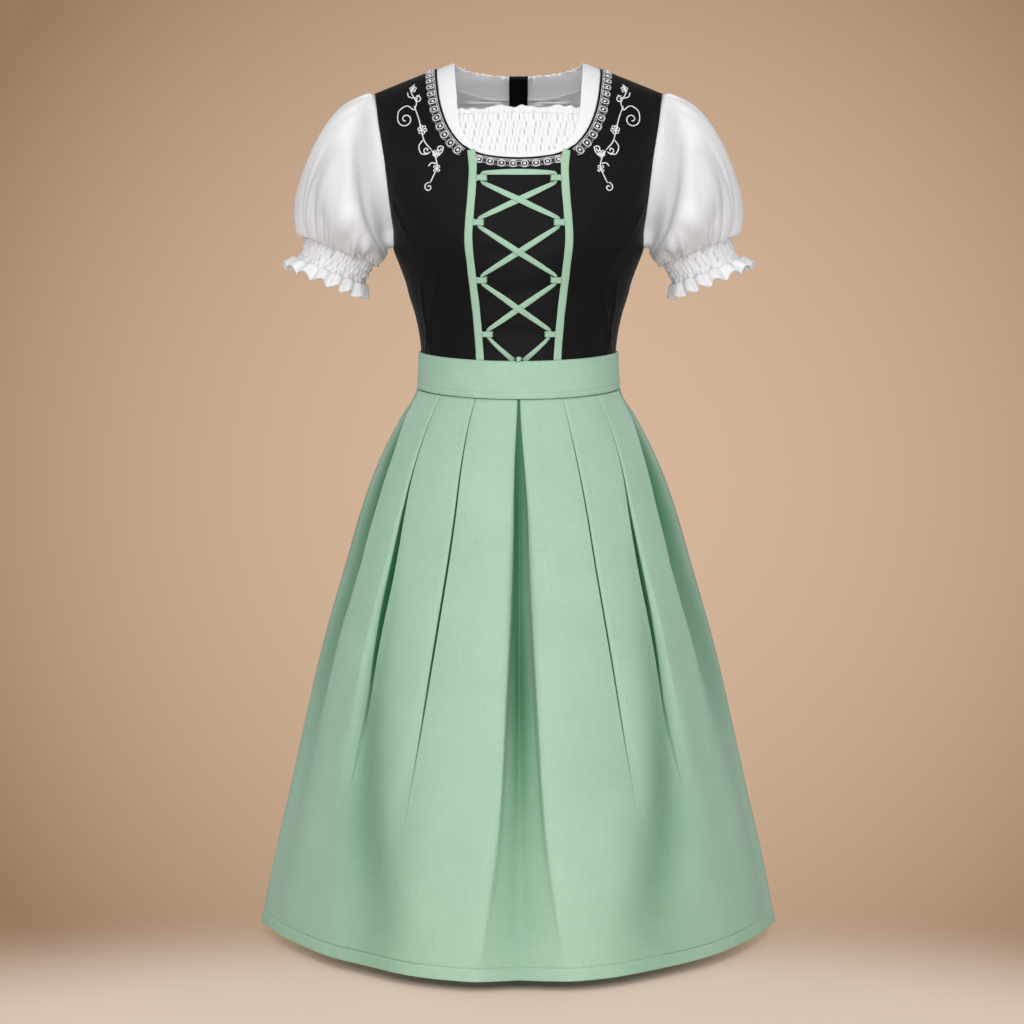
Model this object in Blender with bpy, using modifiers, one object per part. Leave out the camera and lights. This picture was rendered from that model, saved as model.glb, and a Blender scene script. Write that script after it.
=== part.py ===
"""Dirndl dress with its puff-sleeve blouse, in the form it has when worn.

Metres, +Z up. The front faces -Y, and +X is the wearer's left. The origin lies midway between
the two shoulders, where the wearer carries the garment.
"""

import math
from collections import namedtuple

import bmesh
import bpy
import numpy as np

GARMENT = "dirndl_dress"

# Cloth and clearances
WALL = 0.0012  # bodice and skirt cloth
FINE_WALL = 0.0010  # blouse cloth, straps and ribbon
BAND_WALL = 0.0020  # the waistband is two layers and an interlining
GAP = 0.0003  # between two sewn pieces
BLOUSE_OUT = -0.0047  # outer face of the blouse, from the bodice's outer face
BLOUSE_CLEAR = {-1: 0.0016, 1: 0.0022}  # from the blouse's body to its neck band, in front and behind
NECK_BAND_OUT = {-1: -0.0036, 1: -0.0048}  # in front and behind
TRIM_OUT = 0.0019  # outer face of what lies on the bodice
SEAM_SHIFT = 0.0005  # each side of a seam that the wall's thickness leans over
FLAT_SHIFT = 0.0003  # each side of a seam between flat panels

# Torso: the levels are heights on the centre line, and above BUST_Z they bend down to the shoulders
BUST_Z = -0.225
NECK_TOP = 0.0251  # where the shoulder lines would meet above the neck hole
SHOULDER_SLOPE = 0.40
NECK_ROUND = 0.020
GIRTH_POWER = 2.3  # 2 is an ellipse, and more is squarer
ROW_DROP = 0.200  # height of one row unit below the bust
SEAM = math.pi / 2

WAIST_HALF_WIDTH = 0.1244
Girth = namedtuple("Girth", "z half_width front back")
TORSO = (
    Girth(-0.4400, 0.1285, 0.0985, 0.0900),
    Girth(-0.4120, 0.1264, 0.0962, 0.0872),
    Girth(-0.3720, WAIST_HALF_WIDTH, 0.0945, 0.0850),
    Girth(-0.3450, 0.1272, 0.0985, 0.0855),
    Girth(-0.3220, 0.1320, 0.1035, 0.0870),
    Girth(-0.2880, 0.1411, 0.1120, 0.0915),
    Girth(-0.2585, 0.1519, 0.1200, 0.0975),
    Girth(-0.2385, 0.1593, 0.1245, 0.1015),
    Girth(-0.2120, 0.1620, 0.1260, 0.1045),
    Girth(-0.1850, 0.1690, 0.1260, 0.1060),
    Girth(-0.1350, 0.1815, 0.1260, 0.1070),
    Girth(-0.0550, 0.1925, 0.1260, 0.1070),
    Girth(0.0251, 0.1950, 0.1260, 0.1070),
)
CUP_X, CUP_Z = 0.078, -0.218  # fullest point of each cup
CUP_OUT, CUP_SPREAD = 0.007, 0.042

# Cut edges, each from the shoulder down, as places seen from the front
Edge = namedtuple("Edge", "x z")
NECKLINE = (
    Edge(0.1040, -0.0093),
    Edge(0.1015, -0.0324),
    Edge(0.0971, -0.0589),
    Edge(0.0898, -0.0811),
    Edge(0.0796, -0.0990),
    Edge(0.0658, -0.1131),
    Edge(0.0587, -0.1172),
)
NECKLINE_CENTRE = (
    Edge(0.0587, -0.1172),
    Edge(0.0484, -0.1214),
    Edge(0.0235, -0.1259),
    Edge(0.0000, -0.1272),
)
STRAP_LINE = (
    Edge(0.0587, -0.1172),
    Edge(0.0566, -0.1358),
    Edge(0.0571, -0.1583),
    Edge(0.0605, -0.2016),
    Edge(0.0619, -0.2237),
    Edge(0.0581, -0.2666),
    Edge(0.0519, -0.3223),
    Edge(0.0481, -0.3760),
    Edge(0.0475, -0.3950),
)
ARMHOLE_FRONT = (
    Edge(0.1840, -0.0409),
    Edge(0.1775, -0.0754),
    Edge(0.1730, -0.1014),
    Edge(0.1645, -0.1580),
    Edge(0.1610, -0.1950),
    Edge(0.1588, -0.2250),
    Edge(0.1589, -0.2340),
    Edge(0.1593, -0.2385),
)
ARMHOLE_BACK = (
    Edge(0.1840, -0.0409),
    Edge(0.1800, -0.0754),
    Edge(0.1760, -0.1100),
    Edge(0.1690, -0.1580),
    Edge(0.1630, -0.1950),
    Edge(0.1592, -0.2250),
    Edge(0.1590, -0.2340),
    Edge(0.1593, -0.2385),
)
BACK_NECKLINE = (
    Edge(0.1040, -0.0093),
    Edge(0.1000, -0.0165),
    Edge(0.0850, -0.0270),
    Edge(0.0600, -0.0355),
    Edge(0.0300, -0.0392),
    Edge(0.0000, -0.0400),
)
UNDERARM_Z = -0.2385

# Blouse neck band: its outer edge is under the bodice, its inner edge is the neck opening or the smocking
Band = namedtuple("Band", "out_x out_z in_x in_z")
NECK_BAND_FRONT = (
    Band(0.1070, -0.0110, 0.0818, -0.0006),
    Band(0.1045, -0.0340, 0.0799, -0.0244),
    Band(0.1000, -0.0605, 0.0779, -0.0457),
    Band(0.0925, -0.0835, 0.0765, -0.0640),
    Band(0.0820, -0.1015, 0.0712, -0.0905),
    Band(0.0675, -0.1158, 0.0590, -0.1070),
    Band(0.0495, -0.1243, 0.0440, -0.1165),
    Band(0.0240, -0.1290, 0.0225, -0.1212),
    Band(0.0000, -0.1302, 0.0000, -0.1225),
)
NECK_BAND_BACK = (
    Band(0.1070, -0.0110, 0.0818, -0.0006),
    Band(0.1030, -0.0205, 0.0780, -0.0028),
    Band(0.0865, -0.0315, 0.0660, -0.0065),
    Band(0.0600, -0.0400, 0.0450, -0.0100),
    Band(0.0300, -0.0436, 0.0220, -0.0119),
    Band(0.0000, -0.0445, 0.0000, -0.0125),
)
BLOUSE_HEM_Z = -0.275
SMOCK_TOP_SIDE_Z, SMOCK_TOP_CENTRE_Z = -0.0600, -0.0580
SMOCK_COLUMNS, SMOCK_ROWS, SMOCK_RAISE = 40, 7, 0.0016
SMOCK_EDGE = 0.4  # share of the raise left along the panel's edges
SMOCK_CLEAR = 0.0008
SMOCK_LEAST = 0.0040  # least height of the panel, at its sides
SMOCK_SINK = 0.0006  # lowest points of the smocking, under the neck band's face
SMOCK_PLAIN = 0.0011  # wall under the lowest points of the smocking
SMOCK_SIDE_BAND = 3  # the row of the neck band's table at the panel's sides

# Waistband and trims
WAIST_SIDE_Z, WAIST_DIP = -0.3688, 0.0105
WAISTBAND_HEIGHT, WAISTBAND_DIP = 0.0460, 0.0012
WAISTBAND_COLUMNS = 22
BAND_CLEAR = 0.0008  # the waistband's inner face, from the bodice
TUCK = 0.006  # how far the bodice runs down behind the waistband
STRAP_WIDTH, STRAP_ROWS = 0.0098, 17
STRAP_ENDS = 0.0006  # from a strap's ends to the neckline and the waistband
LACE_IN, LACE_WIDTH, SCALLOP, SCALLOP_PITCH = 0.0028, 0.0075, 0.0023, 0.0130
LACE_CLEAR = STRAP_WIDTH / 2 + 0.0006
LOOP_HEIGHTS = (-0.1533, -0.2072, -0.2765, -0.3445)
LOOP_LENGTH, LOOP_WIDTH = 0.0120, 0.0076
LOOP_TOP = 0.0041  # outer face of a loop over the ribbon
Rise = namedtuple("Rise", "along height")
LOOP_PROFILE = (Rise(0, 0), Rise(0.10, 0.8), Rise(0.28, 1), Rise(0.72, 1), Rise(0.90, 0.8), Rise(1, 0))
RIBBON_WIDTH, RIBBON_IN_LOOP = 0.0084, 0.0060
RIBBON_LOW, RIBBON_HIGH = 0.0017, 0.0032  # outer face on the panel, and where it crosses over
RIBBON_THICK = 0.0008
RIBBON_PAST_LOOP = 0.0095
TOP_RUN_Z = -0.1447  # the level run between the two top loops
CROSS_REACH, CROSS_END = 0.0105, 0.0200  # an upper strand is high within the first, low past the second
RIBBON_END_X, RIBBON_END_WIDTH = 0.0062, 0.0067
RIBBON_END_UP, RIBBON_END_TURN = 0.0010, 0.0060  # over the waistband's edge
Stop = namedtuple("Stop", "hand loop strand")
# The loops in the ribbon's order, and how the strand before each one lies
STOPS = (
    Stop(-1, 4, "end"),
    Stop(1, 3, "under"),
    Stop(-1, 2, "over"),
    Stop(1, 1, "under"),
    Stop(-1, 1, "level"),
    Stop(1, 2, "over"),
    Stop(-1, 3, "under"),
    Stop(1, 4, "over"),
)
KNOT_SIZE = (0.0052, 0.0020, 0.0045)  # half its width, depth and height
KNOT_UP, KNOT_OUT = 0.0055, 0.0046  # its centre, over the waistband's edge and out from the bodice
KNOT_SEGMENTS, KNOT_RINGS = 12, 8
TAB_HALF, TAB_CLEAR = 0.0125, 0.0005
TAB_TOP_Z, TAB_INSIDE_Z, TAB_OUTSIDE_Z = -0.0128, -0.0430, -0.0372
TAB_CREST = 0.0022  # its fold, over the neck band's edge

# Skirt
HEM_Z = -1.115
HEM_CREASE = 0.38  # how much the front and back meet in a blunt edge at the hem's sides
HEM_SEAM_SHIFT = 0.0010  # more of the seam's shift at the hem, where the walls lean over it
SKIRT = (
    Girth(-0.4100, 0.1262, 0.0965, 0.0875),
    Girth(-0.4260, 0.1335, 0.1010, 0.0940),
    Girth(-0.4451, 0.1475, 0.1115, 0.1050),
    Girth(-0.4684, 0.1615, 0.1235, 0.1185),
    Girth(-0.4955, 0.1758, 0.1355, 0.1330),
    Girth(-0.5240, 0.1890, 0.1465, 0.1460),
    Girth(-0.5630, 0.2035, 0.1590, 0.1600),
    Girth(-0.6489, 0.2284, 0.1820, 0.1830),
    Girth(-0.7588, 0.2577, 0.2100, 0.2110),
    Girth(-0.8443, 0.2765, 0.2310, 0.2310),
    Girth(-0.9328, 0.2954, 0.2520, 0.2510),
    Girth(-1.0151, 0.3144, 0.2720, 0.2700),
    Girth(-1.1165, 0.3350, 0.2950, 0.2920),
)
SKIRT_ROWS = (0.0, 0.03, 0.07, 0.12, 0.19, 0.28, 0.39, 0.52, 0.67, 0.83, 1.0)
Fold = namedtuple("Fold", "z angle depth step")
Column = namedtuple("Column", "angle out soft")
CENTRE_PLEAT = (
    Fold(-0.4271, 0.9, 0.0045, 0.0004),
    Fold(-0.5200, 2.3, 0.0120, 0.0004),
    Fold(-0.6300, 2.8, 0.0180, 0.0010),
    Fold(-0.7800, 3.9, 0.0200, 0.0030),
    Fold(-0.9450, 5.4, 0.0150, 0.0090),
    Fold(-1.1150, 9.2, 0.0080, 0.0240),
)
INNER_PLEAT = (
    Fold(-0.4271, 24.2, 0.0045, 0.0008),
    Fold(-0.5500, 24.0, 0.0105, 0.0010),
    Fold(-0.6900, 25.6, 0.0110, 0.0025),
    Fold(-0.8200, 27.2, 0.0080, 0.0100),
    Fold(-0.9500, 29.0, 0.0030, 0.0240),
    Fold(-1.1150, 30.5, 0.0020, 0.0340),
)
OUTER_PLEAT = (
    Fold(-0.4271, 48.0, 0.0045, 0.0008),
    Fold(-0.5500, 44.8, 0.0120, 0.0012),
    Fold(-0.6900, 46.0, 0.0135, 0.0035),
    Fold(-0.8200, 46.3, 0.0080, 0.0120),
    Fold(-0.9200, 47.0, 0.0030, 0.0270),
    Fold(-1.1150, 49.0, 0.0020, 0.0360),
)
SIDE_PLEAT = (
    Fold(-0.4271, 76.0, 0.0045, 0.0008),
    Fold(-0.4800, 65.0, 0.0100, 0.0012),
    Fold(-0.5400, 60.8, 0.0130, 0.0020),
    Fold(-0.6100, 60.8, 0.0130, 0.0060),
    Fold(-0.7200, 65.0, 0.0085, 0.0160),
    Fold(-0.8500, 68.0, 0.0030, 0.0300),
    Fold(-1.1150, 70.0, 0.0020, 0.0400),
)
CREST_ROUND, CREST_OUT = 0.005, 0.0006  # width over which a fold's edge is round, and its rise
Edging = namedtuple("Edging", "behind sunk soft")
# From under a fold to its edge: shares of its step and depth, and of the soft fold
FOLD_EDGE = (Edging(1.0, 1.0, 0.0), Edging(0.35, 0.5, 0.5), Edging(0.0, 0.0, 0.8))
CENTRE_SOFT, SEAM_SOFT = -0.3, 0.2  # shares of the soft fold in the centre pleat and at the side seams
Sink = namedtuple("Sink", "z power")
# Power by which a panel sinks towards the next fold: close to the fold above, all across it below
PANEL_SINK = (Sink(-0.55, 2.6), Sink(-0.80, 1.4))
SEAM_SINK = 0.25  # share of the side pleat's depth at the side seam
WAIST_OUT, WAIST_OUT_END = 0.0024, 0.03  # how far the top edge stands out, and where that ends
SOFT_TOP_Z, SOFT_OUT = -0.62, 0.0060  # below here the pleats open into soft folds

# Sleeves
Head = namedtuple("Head", "place within beyond out")
# From the blouse's armhole seam, through the bodice's armhole, to outside it
SLEEVE_HEAD = (
    Head(0.0, 0.0042, 0.0000, -0.0046),
    Head(0.2, 0.0050, 0.0006, -0.0012),
    Head(0.4, 0.0046, 0.0036, 0.0024),
)
Puff = namedtuple("Puff", "place top_x top_z low_x low_z half_depth")
PUFF = (
    Puff(1.0, 0.2060, -0.0458, 0.1660, -0.2445, 0.0800),
    Puff(2.0, 0.2340, -0.0650, 0.1700, -0.2490, 0.0950),
    Puff(3.0, 0.2590, -0.1024, 0.1735, -0.2520, 0.0985),
    Puff(4.0, 0.2746, -0.1463, 0.1770, -0.2540, 0.0930),
    Puff(5.0, 0.2806, -0.1900, 0.1800, -0.2550, 0.0790),
    Puff(5.6, 0.2775, -0.2130, 0.1820, -0.2558, 0.0640),
    Puff(6.0, 0.2741, -0.2219, 0.1830, -0.2568, 0.0545),
)
SLEEVE_COLUMNS = 36
SLEEVE_ROWS = (0.0, 0.2, 0.4, 1.1, 2.1, 3.2, 4.3, 5.4, 6.0)
GATHERS, GATHER_OUT = 18, 0.0016
HEAD_GATHER_PLACE, HEAD_GATHER_SPREAD = 0.7, 0.6
CUFF_GATHER_PLACE, CUFF_GATHER_SPREAD, CUFF_GATHER_SHARE = 5.5, 0.5, 0.9
Cuff = namedtuple("Cuff", "top_x top_z low_x low_z half_depth wave shirr")
# The last two columns are the ruffle's waves and the elastic shirring
CUFF = (
    Cuff(0.2743, -0.2225, 0.1834, -0.2574, 0.0530, 0.0, 0.0006),
    Cuff(0.2758, -0.2290, 0.1860, -0.2625, 0.0500, 0.0, 0.0010),
    Cuff(0.2818, -0.2436, 0.1945, -0.2775, 0.0490, 0.0006, 0.0008),
    Cuff(0.2915, -0.2510, 0.1950, -0.2890, 0.0545, 0.0030, 0.0),
    Cuff(0.3010, -0.2575, 0.1955, -0.3000, 0.0600, 0.0050, 0.0),
)
RUFFLE_WAVES, WAVE_COLUMNS = 15, 4

# Points of the panels: rows above the neck's corner, beside the armhole and below it, and columns
Counts = namedtuple("Counts", "above beside below across")
BODICE_COUNTS = {-1: Counts(5, 6, 4, 7), 1: Counts(4, 8, 4, 7)}
BLOUSE_COUNTS = {-1: Counts(4, 5, 1, 6), 1: Counts(3, 6, 1, 6)}
CENTRE_COLUMNS = 8
ROWS_CLOSER = 1.35  # power by which rows come closer together downwards


def smooth(rows, key, value, at):
    """A column of a table at places between its rows, on a smooth curve through them."""
    places = np.array([getattr(row, key) for row in rows], float)
    values = np.array([getattr(row, value) for row in rows], float)
    if places[0] > places[-1]:
        places, values = places[::-1], values[::-1]
    return hermite(places, values, at)


def hermite(places, values, at):
    slopes = np.gradient(values, places)
    at = np.clip(np.asarray(at, float), places[0], places[-1])
    low = np.clip(np.searchsorted(places, at) - 1, 0, len(places) - 2)
    step = places[low + 1] - places[low]
    t = (at - places[low]) / step
    rise = (3 - 2 * t) * t * t
    pull = step * t * (1 - t) * (slopes[low] * (1 - t) - slopes[low + 1] * t)
    return values[low] + (values[low + 1] - values[low]) * rise + pull


def shoulder_z(x):
    return NECK_TOP - SHOULDER_SLOPE * (np.sqrt(x * x + NECK_ROUND**2) - NECK_ROUND)


def row_at(x, z):
    """The row of the torso through a place seen from the front: 0 on the shoulder, 1 at the bust."""
    share = np.clip((z - BUST_Z) / (shoulder_z(x) - BUST_Z), 0, 1)
    return np.where(z > BUST_Z, np.arccos(share) / SEAM, 1 + (BUST_Z - z) / ROW_DROP)


def level_at(row):
    above = BUST_Z + (NECK_TOP - BUST_Z) * np.cos(row * SEAM)
    return np.where(row < 1, above, BUST_Z - (row - 1) * ROW_DROP)


def half_width_at(row):
    return smooth(TORSO, "z", "half_width", level_at(row))


def angle_at(x, row):
    return np.arcsin(np.clip(x / half_width_at(row), -1, 1))


def girth(angle, crease=0.0):
    """Depth of a section at an angle from its middle, signed past the side seam."""
    inside = np.clip(1 - np.abs(np.sin(angle)) ** GIRTH_POWER, 0, 1)
    return np.sign(np.cos(angle)) * inside ** (0.5 + crease)


def torso_face(side, angle, row):
    """A point of the torso's outer face; side is -1 in front and +1 behind."""
    level = level_at(row)
    x = half_width_at(row) * np.sin(angle)
    share = np.cos(row * SEAM)
    z = np.where(row < 1, BUST_Z + (shoulder_z(x) - BUST_Z) * share, level)
    roll = np.where(row < 1, np.sin(row * SEAM), 1)
    depth = smooth(TORSO, "z", "front" if side < 0 else "back", level)
    y = depth * roll * girth(angle)
    if side < 0:
        apart = ((np.abs(x) - CUP_X) ** 2 + (z - CUP_Z) ** 2) / CUP_SPREAD**2
        y = y + CUP_OUT * np.exp(-apart) * girth(angle)
    return np.stack(np.broadcast_arrays(x, side * y, z), axis=-1)


def outward(face, angle, row, out):
    """Points of a face moved out along its normals."""
    step = 1e-4
    across = face(angle + step, row) - face(angle - step, row)
    down = face(angle, row + step) - face(angle, row - step)
    normal = np.cross(across, down)
    normal /= np.linalg.norm(normal, axis=-1, keepdims=True)
    return face(angle, row) + np.asarray(out)[..., None] * normal


def torso(side, angle, row, out=0.0):
    """Points on the torso, moved out from the bodice's outer face."""
    angle, row = np.broadcast_arrays(np.asarray(angle, float), np.asarray(row, float))
    out = np.broadcast_to(np.asarray(out, float), angle.shape)
    return outward(lambda a, r: torso_face(side, a, r), angle, row, side * out)


def torso_xz(side, x, z, out=0.0):
    x, z = np.broadcast_arrays(np.asarray(x, float), np.asarray(z, float))
    row = row_at(x, z)
    return torso(side, angle_at(x, row), row, out)


def waist_z(angle):
    """Top edge of the waistband, which dips at the front; the angle is 0 there and pi behind."""
    return WAIST_SIDE_Z - WAIST_DIP * np.clip(np.cos(angle), 0, 1) ** 1.3


def waistband_foot_z(angle):
    dip = WAISTBAND_DIP * np.clip(np.cos(angle), 0, 1)
    return waist_z(angle) - WAISTBAND_HEIGHT - dip


# Objects


def material(name, colour, roughness, sheen=0.3):
    """Cloth in one colour."""
    made = bpy.data.materials.new(name)
    made.use_nodes = True
    shader = made.node_tree.nodes["Principled BSDF"]
    shader.inputs["Base Color"].default_value = (*colour, 1)
    shader.inputs["Roughness"].default_value = roughness
    shader.inputs["Metallic"].default_value = 0
    shader.inputs["Sheen Weight"].default_value = sheen
    return made


def black_cloth(name):
    return material(name, (0.012, 0.012, 0.013), 0.55)


def mint_cloth(name):
    return material(name, (0.36, 0.62, 0.44), 0.5)


def white_cloth(name):
    return material(name, (0.80, 0.80, 0.82), 0.75)


def silver_lace(name):
    return material(name, (0.50, 0.50, 0.48), 0.4)


def add_object(name, mesh, paint):
    for face in mesh.polygons:
        face.use_smooth = True
    mesh.set_sharp_from_angle(angle=math.radians(50))
    mesh.materials.append(paint(name + "_cloth"))
    made = bpy.data.objects.new(name, mesh)
    bpy.data.collections[GARMENT].objects.link(made)
    return made


def sheet_mesh(name, grid, flip=False, closed=False):
    """A mesh through a grid of points, its rows running down and its columns across."""
    mesh = bpy.data.meshes.new(name)
    shape = bmesh.new()
    verts = [[shape.verts.new(point) for point in row] for row in grid]
    for upper, lower in zip(verts, verts[1:]):
        ring = list(zip(upper, lower))
        if closed:
            ring.append(ring[0])
        for (a, b), (d, c) in zip(ring, ring[1:]):
            shape.faces.new((d, c, b, a) if flip else (a, b, c, d))
    shape.to_mesh(mesh)
    shape.free()
    return mesh


def sheet(name, grid, paint, thick=WALL, flip=False, closed=False):
    """A cloth piece: the grid is its outer face, and the wall goes inward."""
    made = add_object(name, sheet_mesh(name, grid, flip, closed), paint)
    wall = made.modifiers.new("wall", "SOLIDIFY")
    wall.thickness = thick
    wall.offset = -1
    wall.use_even_offset = True
    wall.thickness_clamp = 1.0
    return made


def mirrored(grid, left):
    """The grid for the wearer's left (+X) or right side."""
    return grid if left else grid * np.array([-1.0, 1.0, 1.0])


# Bodice and blouse body


def edge_angles(edges, rows):
    """Angle of a cut edge at each row."""
    place_x = np.array([edge.x for edge in edges])
    place_z = np.array([edge.z for edge in edges])
    at = row_at(place_x, place_z)
    return hermite(at, angle_at(place_x, at), rows)


def side_angles(edges, rows):
    """Angle of the outer edge: the armhole, and the side seam under it."""
    underarm = row_at(np.array(edges[-1].x), np.array(UNDERARM_Z))
    return np.where(rows < underarm - 1e-9, edge_angles(edges, rows), SEAM)


def closer_below(count):
    """Shares of a height from 0 to 1, closer together towards the waist."""
    return 1 - (1 - np.linspace(0, 1, count + 1)) ** ROWS_CLOSER


def body_rows(corner, last, counts):
    """Rows of a panel: above its neck corner, beside the armhole, and below the underarm."""
    underarm = row_at(np.array(ARMHOLE_FRONT[-1].x), np.array(UNDERARM_Z))
    above = np.linspace(0, corner, counts.above + 1)
    beside = corner + (underarm - corner) * closer_below(counts.beside)[1:]
    below = underarm + (last - underarm) * closer_below(counts.below)[1:]
    return np.concatenate([above, beside, below])


def half_panel(side, neck, down, armhole, out, foot_z, counts, seam_gap):
    """Grid of half a front or back: neck is its upper inner edge, down its lower one."""
    corner = row_at(np.array(neck[-1].x), np.array(neck[-1].z))
    last = row_at(0.0, np.array(foot_z(0.0)))
    rows = body_rows(corner, last, counts)
    inner = edge_angles(neck, rows)
    if down:
        inner = np.where(rows <= corner, inner, edge_angles(down, rows))
    else:
        inner = np.where(rows <= corner, inner, 0)
    inner = inner + seam_gap / half_width_at(rows)
    outer = side_angles(armhole, rows)
    share = np.linspace(0, 1, counts.across + 1)
    angle = inner[:, None] + (outer - inner)[:, None] * share
    row = np.broadcast_to(rows[:, None], angle.shape)
    settle = np.clip((row - 1) / (last - 1), 0, 1) ** 2
    lift = (foot_z(angle) - foot_z(0.0)) / ROW_DROP
    row = row - settle * lift
    grid = torso(side, angle, row, out)
    on_seam = np.isclose(angle, SEAM) | (row < 1e-6)
    grid[..., 1] += np.where(on_seam, side * SEAM_SHIFT, 0)
    return grid


def bodice_foot(angle):
    return waist_z(angle) - TUCK


def back_foot(angle):
    return waist_z(math.pi - angle) - TUCK


def blouse_foot(angle):
    return BLOUSE_HEM_Z + 0 * angle


def bodice_front(left):
    counts = BODICE_COUNTS[-1]
    grid = half_panel(-1, NECKLINE, STRAP_LINE, ARMHOLE_FRONT, 0.0, bodice_foot, counts, FLAT_SHIFT)
    name = "bodice_front_left" if left else "bodice_front_right"
    sheet(name, mirrored(grid, left), black_cloth, flip=not left)


def bodice_back(left):
    counts = BODICE_COUNTS[1]
    grid = half_panel(1, BACK_NECKLINE, None, ARMHOLE_BACK, 0.0, back_foot, counts, FLAT_SHIFT)
    name = "bodice_back_left" if left else "bodice_back_right"
    sheet(name, mirrored(grid, left), black_cloth, flip=left)


def strap_x(z):
    return smooth(STRAP_LINE, "z", "x", z)


def neck_z(x):
    return smooth(NECKLINE_CENTRE, "x", "z", np.abs(x))


def bodice_centre():
    """The black panel between the straps, behind the lacing."""
    across = np.linspace(-1, 1, CENTRE_COLUMNS + 1)
    counts = BODICE_COUNTS[-1]
    corner = row_at(np.array(NECKLINE[-1].x), np.array(NECKLINE[-1].z))
    rows = body_rows(corner, row_at(0.0, bodice_foot(0.0)), counts)[counts.above :]
    down = ((rows - corner) / (rows[-1] - corner))[:, None]
    top = neck_z(across * NECKLINE[-1].x)
    foot = bodice_foot(np.arcsin(across * STRAP_LINE[-1].x / WAIST_HALF_WIDTH))
    z = top + (foot - top) * down
    x = across * (strap_x(z) - FLAT_SHIFT)
    sheet("bodice_centre_front", torso_xz(-1, x, z), black_cloth)


def blouse_half(side):
    """Grid of the blouse's plain body, which runs from under the neck band to below the bust."""
    bands = NECK_BAND_FRONT if side < 0 else NECK_BAND_BACK
    clear = BLOUSE_CLEAR[side]
    neck = [Edge(band.out_x + clear, band.out_z - clear) for band in bands[:-1]]
    neck.append(Edge(0.0, bands[-1].out_z - clear))
    armhole = ARMHOLE_FRONT if side < 0 else ARMHOLE_BACK
    return half_panel(side, neck, None, armhole, BLOUSE_OUT, blouse_foot, BLOUSE_COUNTS[side], 0.0)


def blouse_body(side):
    name = "blouse_front" if side < 0 else "blouse_back"
    made = add_object(name, sheet_mesh(name, blouse_half(side), flip=side > 0), white_cloth)
    mirror = made.modifiers.new("other half", "MIRROR")
    mirror.merge_threshold = 0.0001
    wall = made.modifiers.new("wall", "SOLIDIFY")
    wall.thickness = FINE_WALL
    wall.offset = -1


def neck_band(side):
    """The plain band round the neck opening, one piece from shoulder to shoulder."""
    bands = NECK_BAND_FRONT if side < 0 else NECK_BAND_BACK
    place = np.linspace(0, len(bands) - 1, 2 * len(bands) - 1)
    column = band_columns(bands, place)
    across = np.linspace(0, 1, 3)[:, None]
    x = column["in_x"] + (column["out_x"] - column["in_x"]) * across
    z = column["in_z"] + (column["out_z"] - column["in_z"]) * across
    half = torso_xz(side, x, z, NECK_BAND_OUT[side])
    half[:, 0, 1] += side * FLAT_SHIFT
    grid = np.concatenate([half, mirrored(half, False)[:, -2::-1]], axis=1)
    name = "blouse_neck_band_front" if side < 0 else "blouse_neck_band_back"
    sheet(name, grid, white_cloth, FINE_WALL, flip=side < 0)


def band_columns(bands, place):
    """The band's table at places between its rows."""
    steps = np.arange(len(bands), dtype=float)
    columns = {}
    for key in Band._fields:
        columns[key] = hermite(steps, np.array([getattr(band, key) for band in bands]), place)
    return columns


def smock_foot_z(x):
    fine = band_columns(NECK_BAND_FRONT, np.linspace(SMOCK_SIDE_BAND, len(NECK_BAND_FRONT) - 1, 200))
    return np.interp(np.abs(x), fine["in_x"][::-1], fine["in_z"][::-1])


def smocked_front():
    """Smocking raised as a honeycomb in the outer points, over a plain inside."""
    across = np.linspace(-1, 1, SMOCK_COLUMNS + 1)
    wide_x = across * (NECK_BAND_FRONT[SMOCK_SIDE_BAND].in_x - SMOCK_CLEAR)
    top = SMOCK_TOP_CENTRE_Z + (SMOCK_TOP_SIDE_Z - SMOCK_TOP_CENTRE_Z) * across**2
    foot = smock_foot_z(np.abs(wide_x) + SMOCK_CLEAR) + SMOCK_CLEAR
    foot = np.minimum(foot, top - SMOCK_LEAST)
    sunk = NECK_BAND_OUT[-1] - SMOCK_SINK

    def layer(share, out):
        z = top + (foot - top) * share[:, None]
        return torso_xz(-1, np.broadcast_to(wide_x, z.shape), z, out)

    odd = (np.arange(SMOCK_ROWS + 1)[:, None] + np.arange(SMOCK_COLUMNS + 1)) % 2
    raised = np.where(odd == 0, SMOCK_RAISE, 0)
    raised[[0, -1]] = raised[[0, -1]] / 2
    raised[:, [0, -1]] = SMOCK_EDGE * SMOCK_RAISE
    face = layer(np.linspace(0, 1, SMOCK_ROWS + 1), sunk + raised)
    plain = layer(np.linspace(0, 1, 3), sunk - SMOCK_PLAIN)
    add_object("blouse_smocked_front", between("blouse_smocked_front", face, plain), white_cloth)


def between(name, face, plain):
    """A closed mesh between two grids that have the same columns but other rows."""
    mesh = bpy.data.meshes.new(name)
    shape = bmesh.new()
    front = [[shape.verts.new(point) for point in row] for row in face]
    behind = [[shape.verts.new(point) for point in row] for row in plain]
    for grid in (front, behind, (front[0], behind[0]), (front[-1], behind[-1])):
        for upper, lower in zip(grid, grid[1:]):
            for a, d, b, c in zip(upper, upper[1:], lower, lower[1:]):
                shape.faces.new((a, b, c, d))
    for column in (0, -1):
        shape.faces.new([row[column] for row in front] + [row[column] for row in behind[::-1]])
    bmesh.ops.recalc_face_normals(shape, faces=shape.faces)
    shape.to_mesh(mesh)
    shape.free()
    return mesh


# Waistband and skirt


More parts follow.
